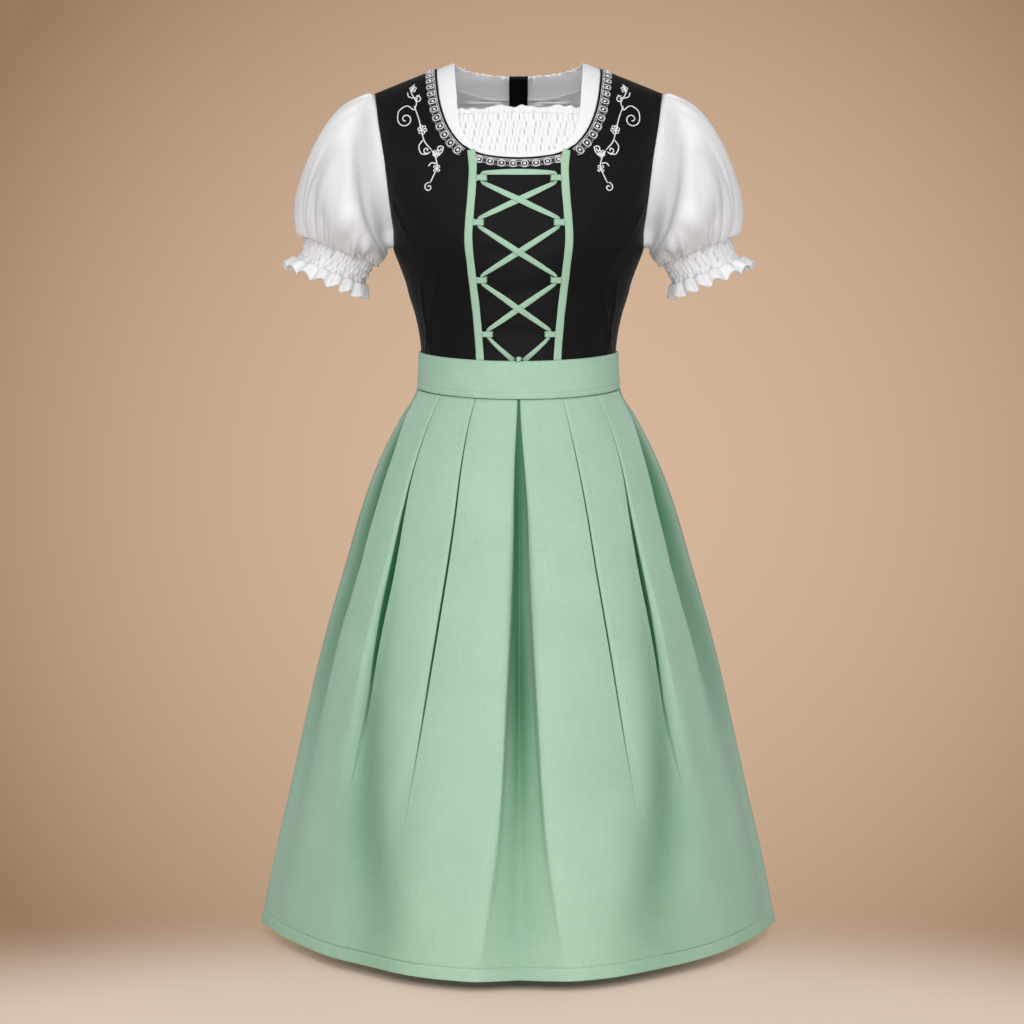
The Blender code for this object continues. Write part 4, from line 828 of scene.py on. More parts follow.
def edge_angles(edges, rows):
    """Angle of a cut edge at each row."""
    place_x = np.array([edge.x for edge in edges])
    place_z = np.array([edge.z for edge in edges])
    at = row_at(place_x, place_z)
    return hermite(at, angle_at(place_x, at), rows)


def edge_row(edge):
    return row_at(edge.x, np.array(edge.z))


def side_angles(edges, rows):
    """Angle of the outer edge: the armhole, and the side seam under it."""
    return np.where(rows < edge_row(edges[-1]) - 1e-9, edge_angles(edges, rows), SEAM)


def closer_below(count):
    """Shares of a height from 0 to 1, closer together towards the waist."""
    return 1 - (1 - np.linspace(0, 1, count + 1)) ** ROWS_CLOSER


def body_rows(corner, last, counts):
    """Rows of a panel: above its neck corner, beside the armhole, and below the underarm."""
    underarm = edge_row(ARMHOLE_FRONT[-1])
    above = np.linspace(0, corner, counts.above + 1)
    beside = between(corner, underarm, closer_below(counts.beside)[1:])
    below = between(underarm, last, closer_below(counts.below)[1:])
    return np.concatenate([above, beside, below])


def half_panel(side, neck, down, out, foot_z, counts, seam_gap):
    """Grid of half a front or back: neck is its upper inner edge, down its lower one."""
    corner = edge_row(neck[-1])
    last = row_at(0.0, np.array(foot_z(0.0)))
    rows = body_rows(corner, last, counts)
    lower = edge_angles(down, rows) if down else 0
    inner = np.where(rows <= corner, edge_angles(neck, rows), lower) + seam_gap / half_width_at(rows)
    outer = side_angles(ARMHOLES[side], rows)
    angle = between(inner[:, None], outer[:, None], np.linspace(0, 1, counts.across + 1))
    row = np.broadcast_to(rows[:, None], angle.shape)
    settle = np.clip((row - 1) / (last - 1), 0, 1) ** 2
    return torso(side, angle, row - settle * (foot_z(angle) - foot_z(0.0)) / ROW_DROP, out)


def bodice_foot(angle):
    return waist_z(angle) - TUCK


def back_foot(angle):
    return waist_z(math.pi - angle) - TUCK


def blouse_foot(angle):
    return BLOUSE_HEM_Z + 0 * angle


def strap_x(z):
    return smooth(STRAP_LINE, "z", "x", z)


def neck_z(x):
    return smooth(NECKLINE_CENTRE, "x", "z", np.abs(x))


def band_columns(bands, place):
    """The band's columns at places between its rows."""
    return Band(*curve(bands, place).T)


def smock_foot_z(x):
    fine = band_columns(NECK_BAND_FRONT, np.linspace(SMOCK_SIDE_BAND, len(NECK_BAND_FRONT) - 1, 200))
    return np.interp(np.abs(x), fine.in_x[::-1], fine.in_z[::-1])


def skirt_face(side, angle, z, out):
    """Points of a skirt section, moved out level from it."""
    share = np.clip((z - SKIRT[0].z) / (HEM_Z - SKIRT[0].z), 0, 1)
    crease = HEM_CREASE * share**1.5
    width = smooth(SKIRT, "z", "half_width", z)
    depth = smooth(SKIRT, "z", "front" if side < 0 else "back", z)

    def ring(a):
        return width * np.sin(a), depth * girth(a, crease)

    x, y = ring(angle)
    (x0, y0), (x1, y1) = ring(angle - 1e-3), ring(angle + 1e-3)
    along = np.hypot(x1 - x0, y1 - y0)
    x = x - out * (y1 - y0) / along
    y = y + out * (x1 - x0) / along
    return np.stack([x, side * y, z], axis=-1)


def turned(length, z):
    """The angle in degrees that a length along the skirt's section takes at one height."""
    return math.degrees(length / (float(smooth(SKIRT, "z", "half_width", z)) * 0.95))


def loop_centre_x(z):
    return float(strap_x(z)) - STRAP_WIDTH / 2 - GAP - LOOP_LENGTH / 2


def corner_cut(path):
    """The path with each corner cut at a quarter of its two sides."""
    head = path[:-1] * 0.75 + path[1:] * 0.25
    tail = path[:-1] * 0.25 + path[1:] * 0.75
    inner = np.stack([head, tail], axis=1).reshape(-1, path.shape[1])
    return np.concatenate([path[:1], inner[1:-1], path[-1:]])


def neckline_path(edges, reach, spacing):
    """Places along a neckline edge at even distances, within a range of distances from the middle."""
    x, z = curve(edges, np.linspace(0, len(edges) - 1, 400)).T
    kept = (x >= reach[0]) & (x <= reach[1])
    x, z = x[kept], z[kept]
    length = lengths_along(torso_xz(-1, x, z))
    count = max(1, round(length[-1] / spacing))
    at = np.linspace(0, length[-1], PATH_PARTS * count + 1)
    return np.interp(at, length, x), np.interp(at, length, z)


def armhole_ring(turns, within, beyond, out):
    """The armhole as a ring of points: 0 is the shoulder, pi the underarm, and sine > 0 the front.

    The ring is shrunk by `within`, and moved away from the body by `beyond`.
    """
    points = []
    for turn in turns:
        side = -1 if math.sin(turn) >= 0 else 1
        z = between(ARMHOLE_FRONT[0].z, UNDERARM_Z, (1 - math.cos(turn)) / 2)
        x = float(smooth(ARMHOLES[side], "z", "x", z))
        points.append(torso_xz(side, x, z, out))
    points = np.array(points)
    inward = points.mean(axis=0) - points
    inward[:, 0] = 0
    return points + unit(inward) * within + np.array([beyond, 0, 0])


def ring_of(row, turns):
    top = np.array([row.top_x, 0.0, row.top_z])
    low = np.array([row.low_x, 0.0, row.low_z])
    centre, reach = (top + low) / 2, (top - low) / 2
    front = np.array([0.0, -row.half_depth, 0.0])
    return centre + np.cos(turns)[:, None] * reach + np.sin(turns)[:, None] * front


def loft(rings, places, at):
    """Rings between given rings, on smooth curves through them."""
    stacked = np.array(rings)
    return curve(stacked.reshape(len(rings), -1), at, places).reshape(len(at), *stacked.shape[1:])


def ring_normals(grid):
    across = np.roll(grid, -1, axis=1) - np.roll(grid, 1, axis=1)
    return unit(np.cross(np.gradient(grid, axis=0), across))


# Meshes


def new_mesh(name, verts, faces):
    mesh = bpy.data.meshes.new(name)
    mesh.from_pydata(verts, [], faces)
    return mesh


def add_uv(mesh, places):
    mesh.uv_layers.new(name="cloth").data.foreach_set("uv", places.astype(np.float32).ravel())


def add_values(mesh, name, values):
    """One number for each point, for the paint to read."""
    spread = values.astype(np.float32).ravel()
    mesh.attributes.new(name, "FLOAT", "POINT").data.foreach_set("value", spread)


def grid_mesh(name, grid, closed=False, flip=False, sunk=None):
    """A mesh through a grid of points, with its arc lengths in metres as its UV map."""
    rows, columns = grid.shape[:2]
    index = np.arange(rows * columns).reshape(rows, columns)
    points = grid
    if closed:
        index = np.concatenate([index, index[:, :1]], axis=1)
        points = np.concatenate([grid, grid[:, :1]], axis=1)
    along = np.linalg.norm(np.diff(points, axis=1), axis=2)
    down = np.linalg.norm(np.diff(points, axis=0), axis=2)
    u = np.concatenate([np.zeros((rows, 1)), np.cumsum(along, axis=1)], axis=1)
    v = np.concatenate([np.zeros((1, points.shape[1])), np.cumsum(down, axis=0)])
    u = u - u[:, -1:] / 2
    uv = np.stack([u, v], axis=-1)
    first, second = slice(0, -1), slice(1, None)
    corners = [(first, first), (first, second), (second, second), (second, first)]
    if flip:
        corners = corners[::-1]
    faces = np.stack([index[corner] for corner in corners], axis=-1).reshape(-1, 4)
    mesh = new_mesh(name, grid.reshape(-1, 3).tolist(), faces.tolist())
    add_uv(mesh, np.stack([uv[corner] for corner in corners], axis=-2))
    edge = np.minimum(v, v[-1:] - v)
    if not closed:
        edge = np.minimum(edge, np.minimum(u - u[:, :1], u[:, -1:] - u))
    add_values(mesh, "rim", np.exp(-edge[:, :columns] / RIM_WIDTH))
    # Painted shade in the cloth's folds, gathers and slits, for the paint to read
    if sunk is not None:
        add_values(mesh, "sunk", sunk)
    return mesh


def add_object(name, mesh, paint):
    mesh.update()
    mesh.polygons.foreach_set("use_smooth", [True] * len(mesh.polygons))
    mesh.materials.append(bpy.data.materials[paint])
    made = bpy.data.objects.new(name, mesh)
    bpy.context.scene.collection.objects.link(made)
    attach(made, "root")
    return made


def cloth(name, grid, paint, thick=SHELL, closed=False, flip=False, sunk=None, halved=False, kind="cloth"):
    """A shell inward of a grid of outer points, which stands for the CAD node of its name."""
    drawn = f"{name}_{kind}"
    made = add_object(drawn, grid_mesh(drawn, grid, closed, flip, sunk), paint)
    if halved:
        made.modifiers.new("other half", "MIRROR").merge_threshold = 0.0001
    wall = made.modifiers.new("wall", "SOLIDIFY")
    wall.thickness = thick
    wall.offset = -1
    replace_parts(made, name)
    return made


def mirrored(grid, left):
    """The grid for the wearer's left (+X) or right side."""
    return grid if left else grid * np.array([-1.0, 1.0, 1.0])


def handed(name, grid, left, paint, behind=False, **form):
    """The cloth of one side's piece; the grid is the left one's, and mirroring turns its faces over."""
    return cloth(f"{name}_{HANDS[left]}", mirrored(grid, left), paint, flip=left == behind, **form)


def normals_of(grid):
    return unit(np.cross(np.gradient(grid, axis=1), np.gradient(grid, axis=0)))


def tubes(name, paths, paint, sides):
    """Round threads joined in one mesh; a path is (points, outward normals, radii)."""
    verts, faces, uvs = [], [], []
    turn = np.arange(sides) * 2 * math.pi / sides
    for points, normals, radii in paths:
        along = unit(np.gradient(points, axis=0))
        across = unit(np.cross(along, normals))
        up = np.cross(across, along)
        ring = across[:, None] * np.cos(turn)[:, None] + up[:, None] * np.sin(turn)[:, None]
        radii = np.broadcast_to(np.asarray(radii, float), len(points))[:, None, None]
        index = len(verts) + np.arange(len(points) * sides).reshape(-1, sides)
        verts += (points[:, None] + ring * radii).reshape(-1, 3).tolist()
        length = lengths_along(points)
        for j in range(sides):
            k = (j + 1) % sides
            quads = np.stack([index[:-1, j], index[:-1, k], index[1:, k], index[1:, j]], axis=-1)
            faces += quads.tolist()
            u0, u1 = j / sides, (j + 1) / sides
            for a, b in zip(length[:-1], length[1:]):
                uvs += [u0, a, u1, a, u1, b, u0, b]
        faces += [index[0, ::-1].tolist(), index[-1].tolist()]
        uvs += [0.0] * (4 * sides)  # both ends
    mesh = new_mesh(name, verts, faces)
    add_uv(mesh, np.array(uvs))
    return add_object(name, mesh, paint)


def stitches(name, lines, paint, sewing):
    """Machine stitches along lines of (points, outward normals), each a small spindle half in the cloth."""
    verts, faces = [], []
    for points, normals in lines:
        length = lengths_along(points)
        count = max(1, int(length[-1] / sewing.pitch))
        middle = (np.arange(count) + 0.5) * length[-1] / count
        ends = (middle - sewing.half, middle, middle + sewing.half)
        head, centre, tail = (along_line(at, length, points) for at in ends)
        up = along_line(middle, length, normals)
        across = unit(np.cross(tail - head, up)) * sewing.thick
        up = up * sewing.thick
        corners = np.stack([head, centre + across, centre + up, centre - across, centre - up, tail], axis=1)
        start = len(verts)
        verts += corners.reshape(-1, 3).tolist()
        for first in range(start, len(verts), 6):
            faces += [[first + corner for corner in face] for face in SPINDLE]
    return add_object(name, new_mesh(name, verts, faces), paint)


# Materials


def node(tree, kind, inputs=None, **settings):
    """A new node with its settings and inputs."""
    made = tree.nodes.new(kind)
    for key, value in settings.items():
        setattr(made, key, value)
    feed(tree, made, inputs or {})
    return made


def feed(tree, made, inputs):
    """Sets a node's inputs, each to a value or from another node's socket."""
    for key, value in inputs.items():
        if isinstance(value, bpy.types.NodeSocket):
            tree.links.new(value, made.inputs[key])
        else:
            made.inputs[key].default_value = value


def mixed(tree, factor, start, end):
    inputs = {"Factor": factor, "A": start, "B": end}
    return node(tree, "ShaderNodeMix", inputs, data_type="RGBA").outputs["Result"]


def noise(tree, vector, scale, detail, distortion=0.0):
    inputs = {"Vector": vector, "Scale": scale, "Detail": detail, "Distortion": distortion}
    return node(tree, "ShaderNodeTexNoise", inputs).outputs["Fac"]


def waves(tree, vector, scale, direction, distortion, detail):
    inputs = {"Vector": vector, "Scale": scale, "Distortion": distortion, "Detail": detail}
    return node(tree, "ShaderNodeTexWave", inputs, bands_direction=direction).outputs["Fac"]


def summed(tree, first, second):
    return node(tree, "ShaderNodeMath", {0: first, 1: second}, operation="ADD").outputs[0]


def vectors(tree, operation, output, *inputs):
    made = node(tree, "ShaderNodeVectorMath", dict(enumerate(inputs)), operation=operation)
    return made.outputs[output]


def new_material(name):
    """A new material's node tree and its shader."""
    made = bpy.data.materials.new(name)
    made.use_nodes = True
    return made.node_tree, made.node_tree.nodes["Principled BSDF"]


def new_paint(name, paint):
    """A woven cloth: slubs of two tones, a weave along its UV map, soft wrinkles, a tone at its edges that is
    partly wear and partly painted shade, and painted shade in its folds.
    """
    tree, shader = new_material(name)
    place = node(tree, "ShaderNodeTexCoord")
    uv, spot = place.outputs["UV"], place.outputs["Object"]
    mottle = noise(tree, spot, MOTTLE_SCALE, MOTTLE_DETAIL)
    slubs = mottle
    for stretch in SLUB_STRETCHES:
        drawn = node(tree, "ShaderNodeMapping", {"Vector": uv, "Scale": stretch})
        slubs = summed(tree, noise(tree, drawn.outputs["Vector"], 1.0, 2.0), slubs)
    share = node(tree, "ShaderNodeMapRange", {"Value": slubs, "From Min": SLUB_LOW, "From Max": SLUB_HIGH})
    # Edges and seams take the edge's tone: partly wear, partly painted shade
    rim = node(tree, "ShaderNodeAttribute", attribute_name="rim").outputs["Fac"]
    rim = node(tree, "ShaderNodeMath", {0: rim, 1: RIM_TINT}, operation="MULTIPLY").outputs[0]
    # Painted shade: where the cloth lies in a fold, its colour goes towards the deep tone
    sunk = node(tree, "ShaderNodeAttribute", attribute_name="sunk").outputs["Fac"]
    tone = mixed(tree, share.outputs["Result"], (*paint.tones.light, 1), (*paint.tones.dark, 1))
    tone = mixed(tree, rim, tone, (*paint.tones.edge, 1))
    tone = mixed(tree, sunk, tone, (*paint.tones.deep, 1))
    spread = {"Value": mottle, "To Min": paint.rough - ROUGH_VARIES, "To Max": paint.rough + ROUGH_VARIES}
    rough = node(tree, "ShaderNodeMapRange", spread).outputs["Result"]
    rate = WAVE_SCALE / paint.weave.pitch
    warp = waves(tree, uv, rate, "X", WEAVE_SWAY, 1.0)
    weft = waves(tree, uv, rate * paint.weave.ratio, "Y", WEAVE_SWAY, 1.0)
    weave = {"Height": summed(tree, warp, weft), "Strength": paint.weave.strength, "Distance": WEAVE_DEEP}
    if paint.wrinkle:
        crumple = noise(tree, spot, WRINKLE_SCALE, 3.0, 0.8)
        soft = {"Height": crumple, "Strength": paint.wrinkle, "Distance": WRINKLE_DEEP}
        weave["Normal"] = node(tree, "ShaderNodeBump", soft).outputs["Normal"]
    looks = {"Base Color": tone, "Roughness": rough, "Metallic": paint.metal}
    looks.update({"Specular IOR Level": paint.gloss, "Sheen Weight": paint.sheen, "Sheen Roughness": 0.4})
    looks["Normal"] = node(tree, "ShaderNodeBump", weave).outputs["Normal"]
    feed(tree, shader, looks)


def thread_paint(name, thread):
    """A spun thread: its UV map runs round it and along it, so slanted waves make the twist."""
    tree, shader = new_material(name)
    place = node(tree, "ShaderNodeTexCoord")
    stretch = (1.0, TWIST_SCALE / thread.twist, 1.0)
    drawn = node(tree, "ShaderNodeMapping", {"Vector": place.outputs["UV"], "Scale": stretch})
    spun = waves(tree, drawn.outputs["Vector"], 2.0, "DIAGONAL", 0.0, 2.0)
    mottle = noise(tree, place.outputs["Object"], 300.0, 2.0)
    dark = (*[part * 0.7 for part in thread.colour], 1)
    light = (*[min(1.0, part * 1.25) for part in thread.colour], 1)
    twist = {"Height": spun, "Strength": TWIST_STRENGTH, "Distance": TWIST_DEEP}
    looks = {"Base Color": mixed(tree, mottle, dark, light), "Roughness": thread.rough}
    looks.update({"Metallic": thread.metal, "Normal": node(tree, "ShaderNodeBump", twist).outputs["Normal"]})
    feed(tree, shader, looks)


def make_paints():
    for name, paint in PAINTS.items():
        new_paint(name, paint)
    for name, thread in THREADS.items():
        thread_paint(name, thread)


# Folds and seams laid over the panels


def trough(x, z, line):
    """Depth of a soft trough or seam along a line of places seen from the front."""
    length = math.dist(line.start, line.end)
    along = (np.array(line.end) - line.start) / length
    share = ((x - line.start[0]) * along[0] + (z - line.start[1]) * along[1]) / length
    apart = (z - line.start[1]) * along[0] - (x - line.start[0]) * along[1]
    bend = line.bow * np.clip(share * (1 - share), 0, 1) * 4
    past = np.maximum(0, np.abs(share - 0.5) - 0.5) * length
    return line.depth * hill((apart - bend) / line.width) * hill(past / line.fade)


def bodice_relief(x, z):
    """Seams and soft creases of the bodice front."""
    seams = sum(trough(np.abs(x), z, line) for line in BODICE_SEAMS)
    return -seams - sum(trough(x, z, line) for line in BODICE_CREASES)


def back_relief(x, z):
    return -sum(trough(np.abs(x), z, line) for line in BACK_SEAMS)


# Bodice and blouse


def lifted(side, grid, relief):
    """The grid moved out by a relief of its front view; its normals face out only in front."""
    out = relief(grid[..., 0], grid[..., 2])
    return grid - normals_of(grid) * (out * side)[..., None]


def bodice_front(left):
    grid = half_panel(-1, NECKLINE, STRAP_LINE, 0.0, bodice_foot, FINE_COUNTS, PANEL_GAP)
    made = handed("bodice_front", lifted(-1, grid, bodice_relief), left, "black")


def bodice_back(left):
    grid = half_panel(1, BACK_NECKLINE, None, 0.0, back_foot, FINE_COUNTS, PANEL_GAP)
    made = handed("bodice_back", lifted(1, grid, back_relief), left, "black", behind=True)


def bodice_centre():
    across = np.linspace(-1, 1, 61)
    corner = edge_row(NECKLINE[-1])
    rows = body_rows(corner, row_at(0.0, bodice_foot(0.0)), FINE_COUNTS)[FINE_COUNTS.above :]
    down = ((rows - corner) / (rows[-1] - corner))[:, None]
    foot = bodice_foot(np.arcsin(across * STRAP_LINE[-1].x / WAIST_HALF_WIDTH))
    z = between(neck_z(across * NECKLINE[-1].x), foot, down)
    x = across * (strap_x(z) - PANEL_GAP)
    made = cloth("bodice_centre_front", torso_xz(-1, x, z, bodice_relief(x, z)), "black")


def blouse_body(side):
    """The plain body under the bodice, gathered under the neck band."""
    name, bands, up = f"blouse_{FACES[side]}", NECK_BANDS[side], BODY_UNDER_BAND
    neck = [Edge(band.out_x - up, band.out_z + up) for band in bands[:-1]]
    neck.append(Edge(0.0, bands[-1].out_z + up))
    grid = half_panel(side, neck, None, BODY_OUT, blouse_foot, BLOUSE_COUNTS, 0.0)
    x, below = grid[..., 0], np.clip((bands[-1].out_z - grid[..., 2]) / GATHER_FADE, 0, 1)
    within = np.exp(-below) * np.clip((GATHER_SIDE_X - np.abs(x)) / GATHER_SIDE_FADE, 0, 1)
    gathers = (1 - rippled(x, BODY_GATHERS)) / 2 * within
    grid[..., 1] -= side * (GATHER_SINK * gathers + BODY_SINK * below)
    # Painted shade in the hollows of the gathers
    made = cloth(name, grid, BLOUSE_PAINTS[side], FINE_SHELL, flip=side > 0, sunk=0.6 * gathers, halved=True)


def neck_band(side):
    """The plain band round the neck opening; behind it ends in a narrow frill."""
    place = np.linspace(0, len(NECK_BANDS[side]) - 1, BAND_FINE.across + 1)
    column = band_columns(NECK_BANDS[side], place)
    across = np.linspace(0, 1, BAND_FINE.down + 1)[:, None]
    x = between(column.in_x, column.out_x, across)
    z = between(column.in_z, column.out_z, across)
    out = NECK_BAND_FINE[side] + BAND_ROUND * np.sin(math.pi * across) ** 0.5
    if side > 0:
        frill = np.clip((place - BACK_FRILL_FROM) / BACK_FRILL_FADE, 0, 1)
        frill = frill * np.clip(1 - across / BACK_FRILL, 0, 1)
        out = out + frill * BACK_FRILL_OUT * rippled(place, BACK_FRILL_OUT_WAVES)
        up = BACK_FRILL_UP * rippled(place, BACK_FRILL_UP_WAVES) + BACK_FRILL_FINE * np.cos(place * 29)
        z = z + frill * up
    half = torso_xz(side, x, z, out)
    grid = np.concatenate([half, mirrored(half, False)[:, -2::-1]], axis=1)
    name = f"blouse_neck_band_{FACES[side]}"
    made = cloth(name, grid, BLOUSE_PAINTS[side], FINE_SHELL, flip=side < 0)
    sewn = (int(BAND_SEWN[side] * BAND_FINE.down), slice(BAND_UNSEWN, -BAND_UNSEWN))
    normal = normals_of(grid)[sewn] * side
    stitches(name + "_stitches", [(grid[sewn] + normal * SEWN_OUT, normal)], "white_thread", NECK_SEWING)


def shirred(puffs, rows, seed, bend):
    """Height of cloth gathered on elastic threads: slits between its puffs close at each thread."""
    row = np.floor(rows).astype(int)
    share = rows - row
    phase = np.random.default_rng(seed).uniform(-SHIRR_SHIFT, SHIRR_SHIFT, SHIRR_ROWS)
    phase += 0.5 * (np.arange(SHIRR_ROWS) % 2)
    place = puffs + phase[row] + bend
    apart = np.abs(place % 1 - 0.5)
    gape = np.sin(math.pi * np.clip(share, 0, 1))
    deep = 0.62 + 0.38 * np.sin(np.floor(place) * 2.4 + 5 * phase[row])
    slit = deep * hill(apart / (SLIT_WIDTH + SLIT_GAPE * gape)) * np.sqrt(gape)
    thread = hill(np.minimum(share, 1 - share) / THREAD_SHARE)
    return 1 - SLIT_DEEP * slit - THREAD_DEEP * thread


def smock_relief(x, depth):
    """How far out the smocking is at depths under its frill's foot, its painted shade in the slits, and how
    far up.
    """
    in_rows = depth / SMOCK_ROW
    frill = np.clip(-depth / SMOCK_FRILL, 0, 1)
    bend = waved(SMOCK_BEND, x, in_rows)
    puffs = shirred(x / SMOCK_PITCH, np.maximum(in_rows, 0), SMOCK_SEEDS[0], bend)
    gathers = shirred(x / SMOCK_PITCH, np.full(x.shape, 0.5), SMOCK_SEEDS[1], bend) * (1 - frill) ** 0.7
    free = 0.6 * rippled(x, FRILL_WAVES) + 0.4 * np.cos(x / 0.0027 + 1.3)
    loose = FRILL_LOOSE * frill**0.7 * (1 + free)
    loose = loose + SMOCK_HEIGHT * 0.9 * gathers * np.clip(frill * 8, 0, 1)
    raised = np.where(depth < 0, loose, SMOCK_HEIGHT * puffs)
    # Painted shade in the slits between the puffs, less on the frill
    sunk = np.clip(1 - puffs, 0, 1) * np.where(depth < 0, 0.4 * (1 - frill), 1)
    edge = rippled(x, FRILL_EDGE_WAVES[0]) + 0.5 * rippled(x, FRILL_EDGE_WAVES[1])
    return raised, sunk, np.where(depth < 0, FRILL_EDGE * frill * edge, 0)


def smocked_front():
    """Elastic shirring: rows of narrow puffs under a free frill."""
    across = np.linspace(-1, 1, SMOCK_FINE.across + 1)
    down = np.linspace(0, 1, SMOCK_FINE.down + 1)[:, None]
    side_x = NECK_BAND_FRONT[SMOCK_SIDE_BAND].in_x + SMOCK_UNDER
    top = between(SMOCK_TOP_CENTRE_Z, SMOCK_TOP_SIDE_Z, across**2) - SMOCK_LOWER
    foot = smock_foot_z(np.minimum(np.abs(across * side_x), side_x - SMOCK_UNDER)) - SMOCK_UNDER
    foot = np.minimum(foot, top - SMOCK_LEAST)
    z = between(top, foot, down)
    x = np.broadcast_to(across * side_x, z.shape)
    under = np.clip((np.abs(x) - side_x + SMOCK_SIDE) / SMOCK_FADE, 0, 1)
    under = under * np.clip((SMOCK_HIDE_Z - z) / SMOCK_FADE, 0, 1)
    shown = 1 - np.maximum(under, np.clip(1 - (z - foot) / SMOCK_FOOT_FADE, 0, 1))
    raised, sunk, up = smock_relief(x, top - z - SMOCK_FRILL)
    grid = torso_xz(-1, x, z + up, SMOCK_OUT + raised * shown)
    made = cloth("blouse_smocked_front", grid, "white", FINE_SHELL, sunk=sunk * shown)


# Waistband and skirt


def waistband(side):
    angle = np.linspace(-SEAM, SEAM, WAIST_FINE.across + 1)
    turn = from_front(side, angle)
    share = np.linspace(0, 1, WAIST_FINE.down + 1)[:, None]
    z = between(waist_z(turn), waistband_foot_z(turn), share)
    swell = np.sin(math.pi * share)
    out = BAND_CLEAR + BAND_WALL + BAND_RISE * swell - BAND_EDGE * np.exp(-share / BAND_EDGE_SHARE)
    out = out - BAND_GROOVE_DEEP * hill((share - BAND_GROOVE) / BAND_GROOVE_WIDTH)
    near_seam = hill((share - BAND_PUCKER_AT) / BAND_PUCKER_WIDTH)
    out = out + BAND_PUCKER * rippled(angle, BAND_PUCKER_WAVES) * near_seam
    slack = np.sin(angle * 5 + 4 * share + 0.8) * swell + 0.5 * np.sin(angle * 13 - 5 * share)
    out = out + BAND_SLACK * slack * np.cos(angle) ** 2
    grid = torso(side, np.broadcast_to(angle, z.shape), row_at(0.0, z), out)
    made = cloth(f"waistband_{FACES[side]}", grid, "mint", BAND_SHELL, flip=side > 0)


def ramp(value):
    """0 below 0, 1 above 1 and smooth between."""
    share = np.clip(value, 0, 1)
    return share * share * (3 - 2 * share)


def row_of(table, z):
    """A table's row at one height, from the smooth curves through its columns."""
    kind = type(table[0])
    return kind(z, *(max(float(smooth(table, "z", key, z)), 0.0) for key in kind._fields[1:]))


def fold_places(z, hand):
    """Arc lengths from the middle to the four folds of a quarter, with its unevenness."""
    shift = PLEAT_SHIFT[hand]
    uneven = ramp((SHIFT_FROM_Z - z) / (SHIFT_FROM_Z - SHIFT_FULL_Z))
    tables = (CENTRE_PLEAT, INNER_PLEAT, OUTER_PLEAT, SIDE_PLEAT)
    angles = [float(smooth(table, "z", "angle", z)) + uneven * more for table, more in zip(tables, shift)]
    return [angle / turned(1.0, z) for angle in angles]


def slit(s, low, high, edge):
    """1 between two places and 0 outside them, over edges of a given width."""
    return ramp((s - low) / edge) * ramp((high - s) / edge)


def profile_places(at, end, walls, folds):
    """Arc lengths from the middle to the side seam, closest together at the folds."""
    points = [np.linspace(0, at[0] - 1.5 * walls[0], 6), at[0] + walls[0] * WALL_POINTS]
    for place, fold in zip(at[1:3], folds):
        low = place - fold.gap
        points.append(np.linspace(points[-1][-1], low - 0.0010, PANEL_POINTS)[1:])
        points += [low + FOLD_POINTS, place - FOLD_POINTS[::-1]]
    points.append(np.linspace(points[-1][-1], at[3] - 2 * walls[1], PANEL_POINTS)[1:])
    points += [at[3] + walls[1] * WALL_POINTS, np.linspace(at[3] + 2.2 * walls[1], end, 8)]
    return np.concatenate(points)


def skirt_profile(z, hand):
    """Arc lengths from the middle to the side seam, how far out the cloth is there, and its painted shade in
    the folds.
    """
    at, end = fold_places(z, hand), 90.0 / turned(1.0, z)
    centre, side, shade = (row_of(table, z) for table in (CENTRE_MOUTH, SIDE_MOUTH, PLEAT_SHADE))
    folds = []
    for fold in (row_of(INNER_OPEN, z), row_of(OUTER_OPEN, z)):
        folds.append(fold._replace(gap=max(fold.gap * PLEAT_SHIFT[hand].gap, LEAST_GAP)))
    walls = (min(centre.round, CENTRE_WALL, at[0] / 3), min(side.round, SIDE_WALL))
    s = profile_places(at, end, walls, folds)
    inside = np.clip(1 - s / at[0], 0, 1)
    within = ramp((at[0] - s) / max(centre.round, walls[1]) * 0.5 + 0.5)
    out = -centre.deep * between(centre.step, 1, inside) * within
    # Painted shade in the centre pleat, darker at one edge as a painted shadow
    sunk = within * between(shade.left if hand > 0 else shade.right, shade.middle, inside)
    for place, fold in zip(at[1:3], folds):
        low = place - fold.gap
        near = hill(np.minimum(s - low + fold.slide, 0) / fold.inner)
        near *= hill(np.maximum(s - place + fold.slide, 0) / fold.outer)
        out -= fold.deep * slit(s, low, place, GAPE_EDGE) + fold.trough * near
        out += CREST_OUT * hill((s - place - CREST_WIDTH) / CREST_WIDTH) * ramp(fold.deep / CREST_FADE)
        # Painted shade in each fold's gap and in its soft trough
        inner = slit(s, low, place, SHADE_EDGE) * min(fold.deep / FOLD_DEEPEST, 1)
        sunk = np.maximum(sunk, np.maximum(inner, near * fold.trough / TROUGH_DEEPEST))
    beyond = np.clip((s - at[3]) / (end - at[3]), 0, 1)
    behind = ramp((s - at[3]) / side.round * 0.5 + 0.5)
    out -= (side.deep * (1 - beyond) + SEAM_OUT * beyond * side.deep / SIDE_MOUTH[2].deep) * behind
    # Painted shade behind the side fold, fading towards the seam
    return s, out, np.maximum(sunk, behind * shade.side * np.clip(2 - 2 * beyond, 0, 1))


def skirt_quarter(side, hand, t):
    """One row of points from the centre pleat to the side seam, and the painted shade of each."""
    level = between(WAIST_SIDE_Z - WAISTBAND_HEIGHT, HEM_Z, t)
    place, out, sunk = skirt_profile(level, hand)
    angle = np.radians(place * turned(1.0, level))
    z = between(waistband_foot_z(from_front(side, angle)) - GAP, HEM_Z, t)
    out = out + SOFT_BASE * ramp((SOFT_TOP_Z - z) / (SOFT_TOP_Z - HEM_Z))
    out = out + WAIST_OUT * (1 - min(t / WAIST_OUT_END, 1)) + skirt_drape(side, hand, angle, z, t)
    return skirt_face(side, angle, z, out), sunk


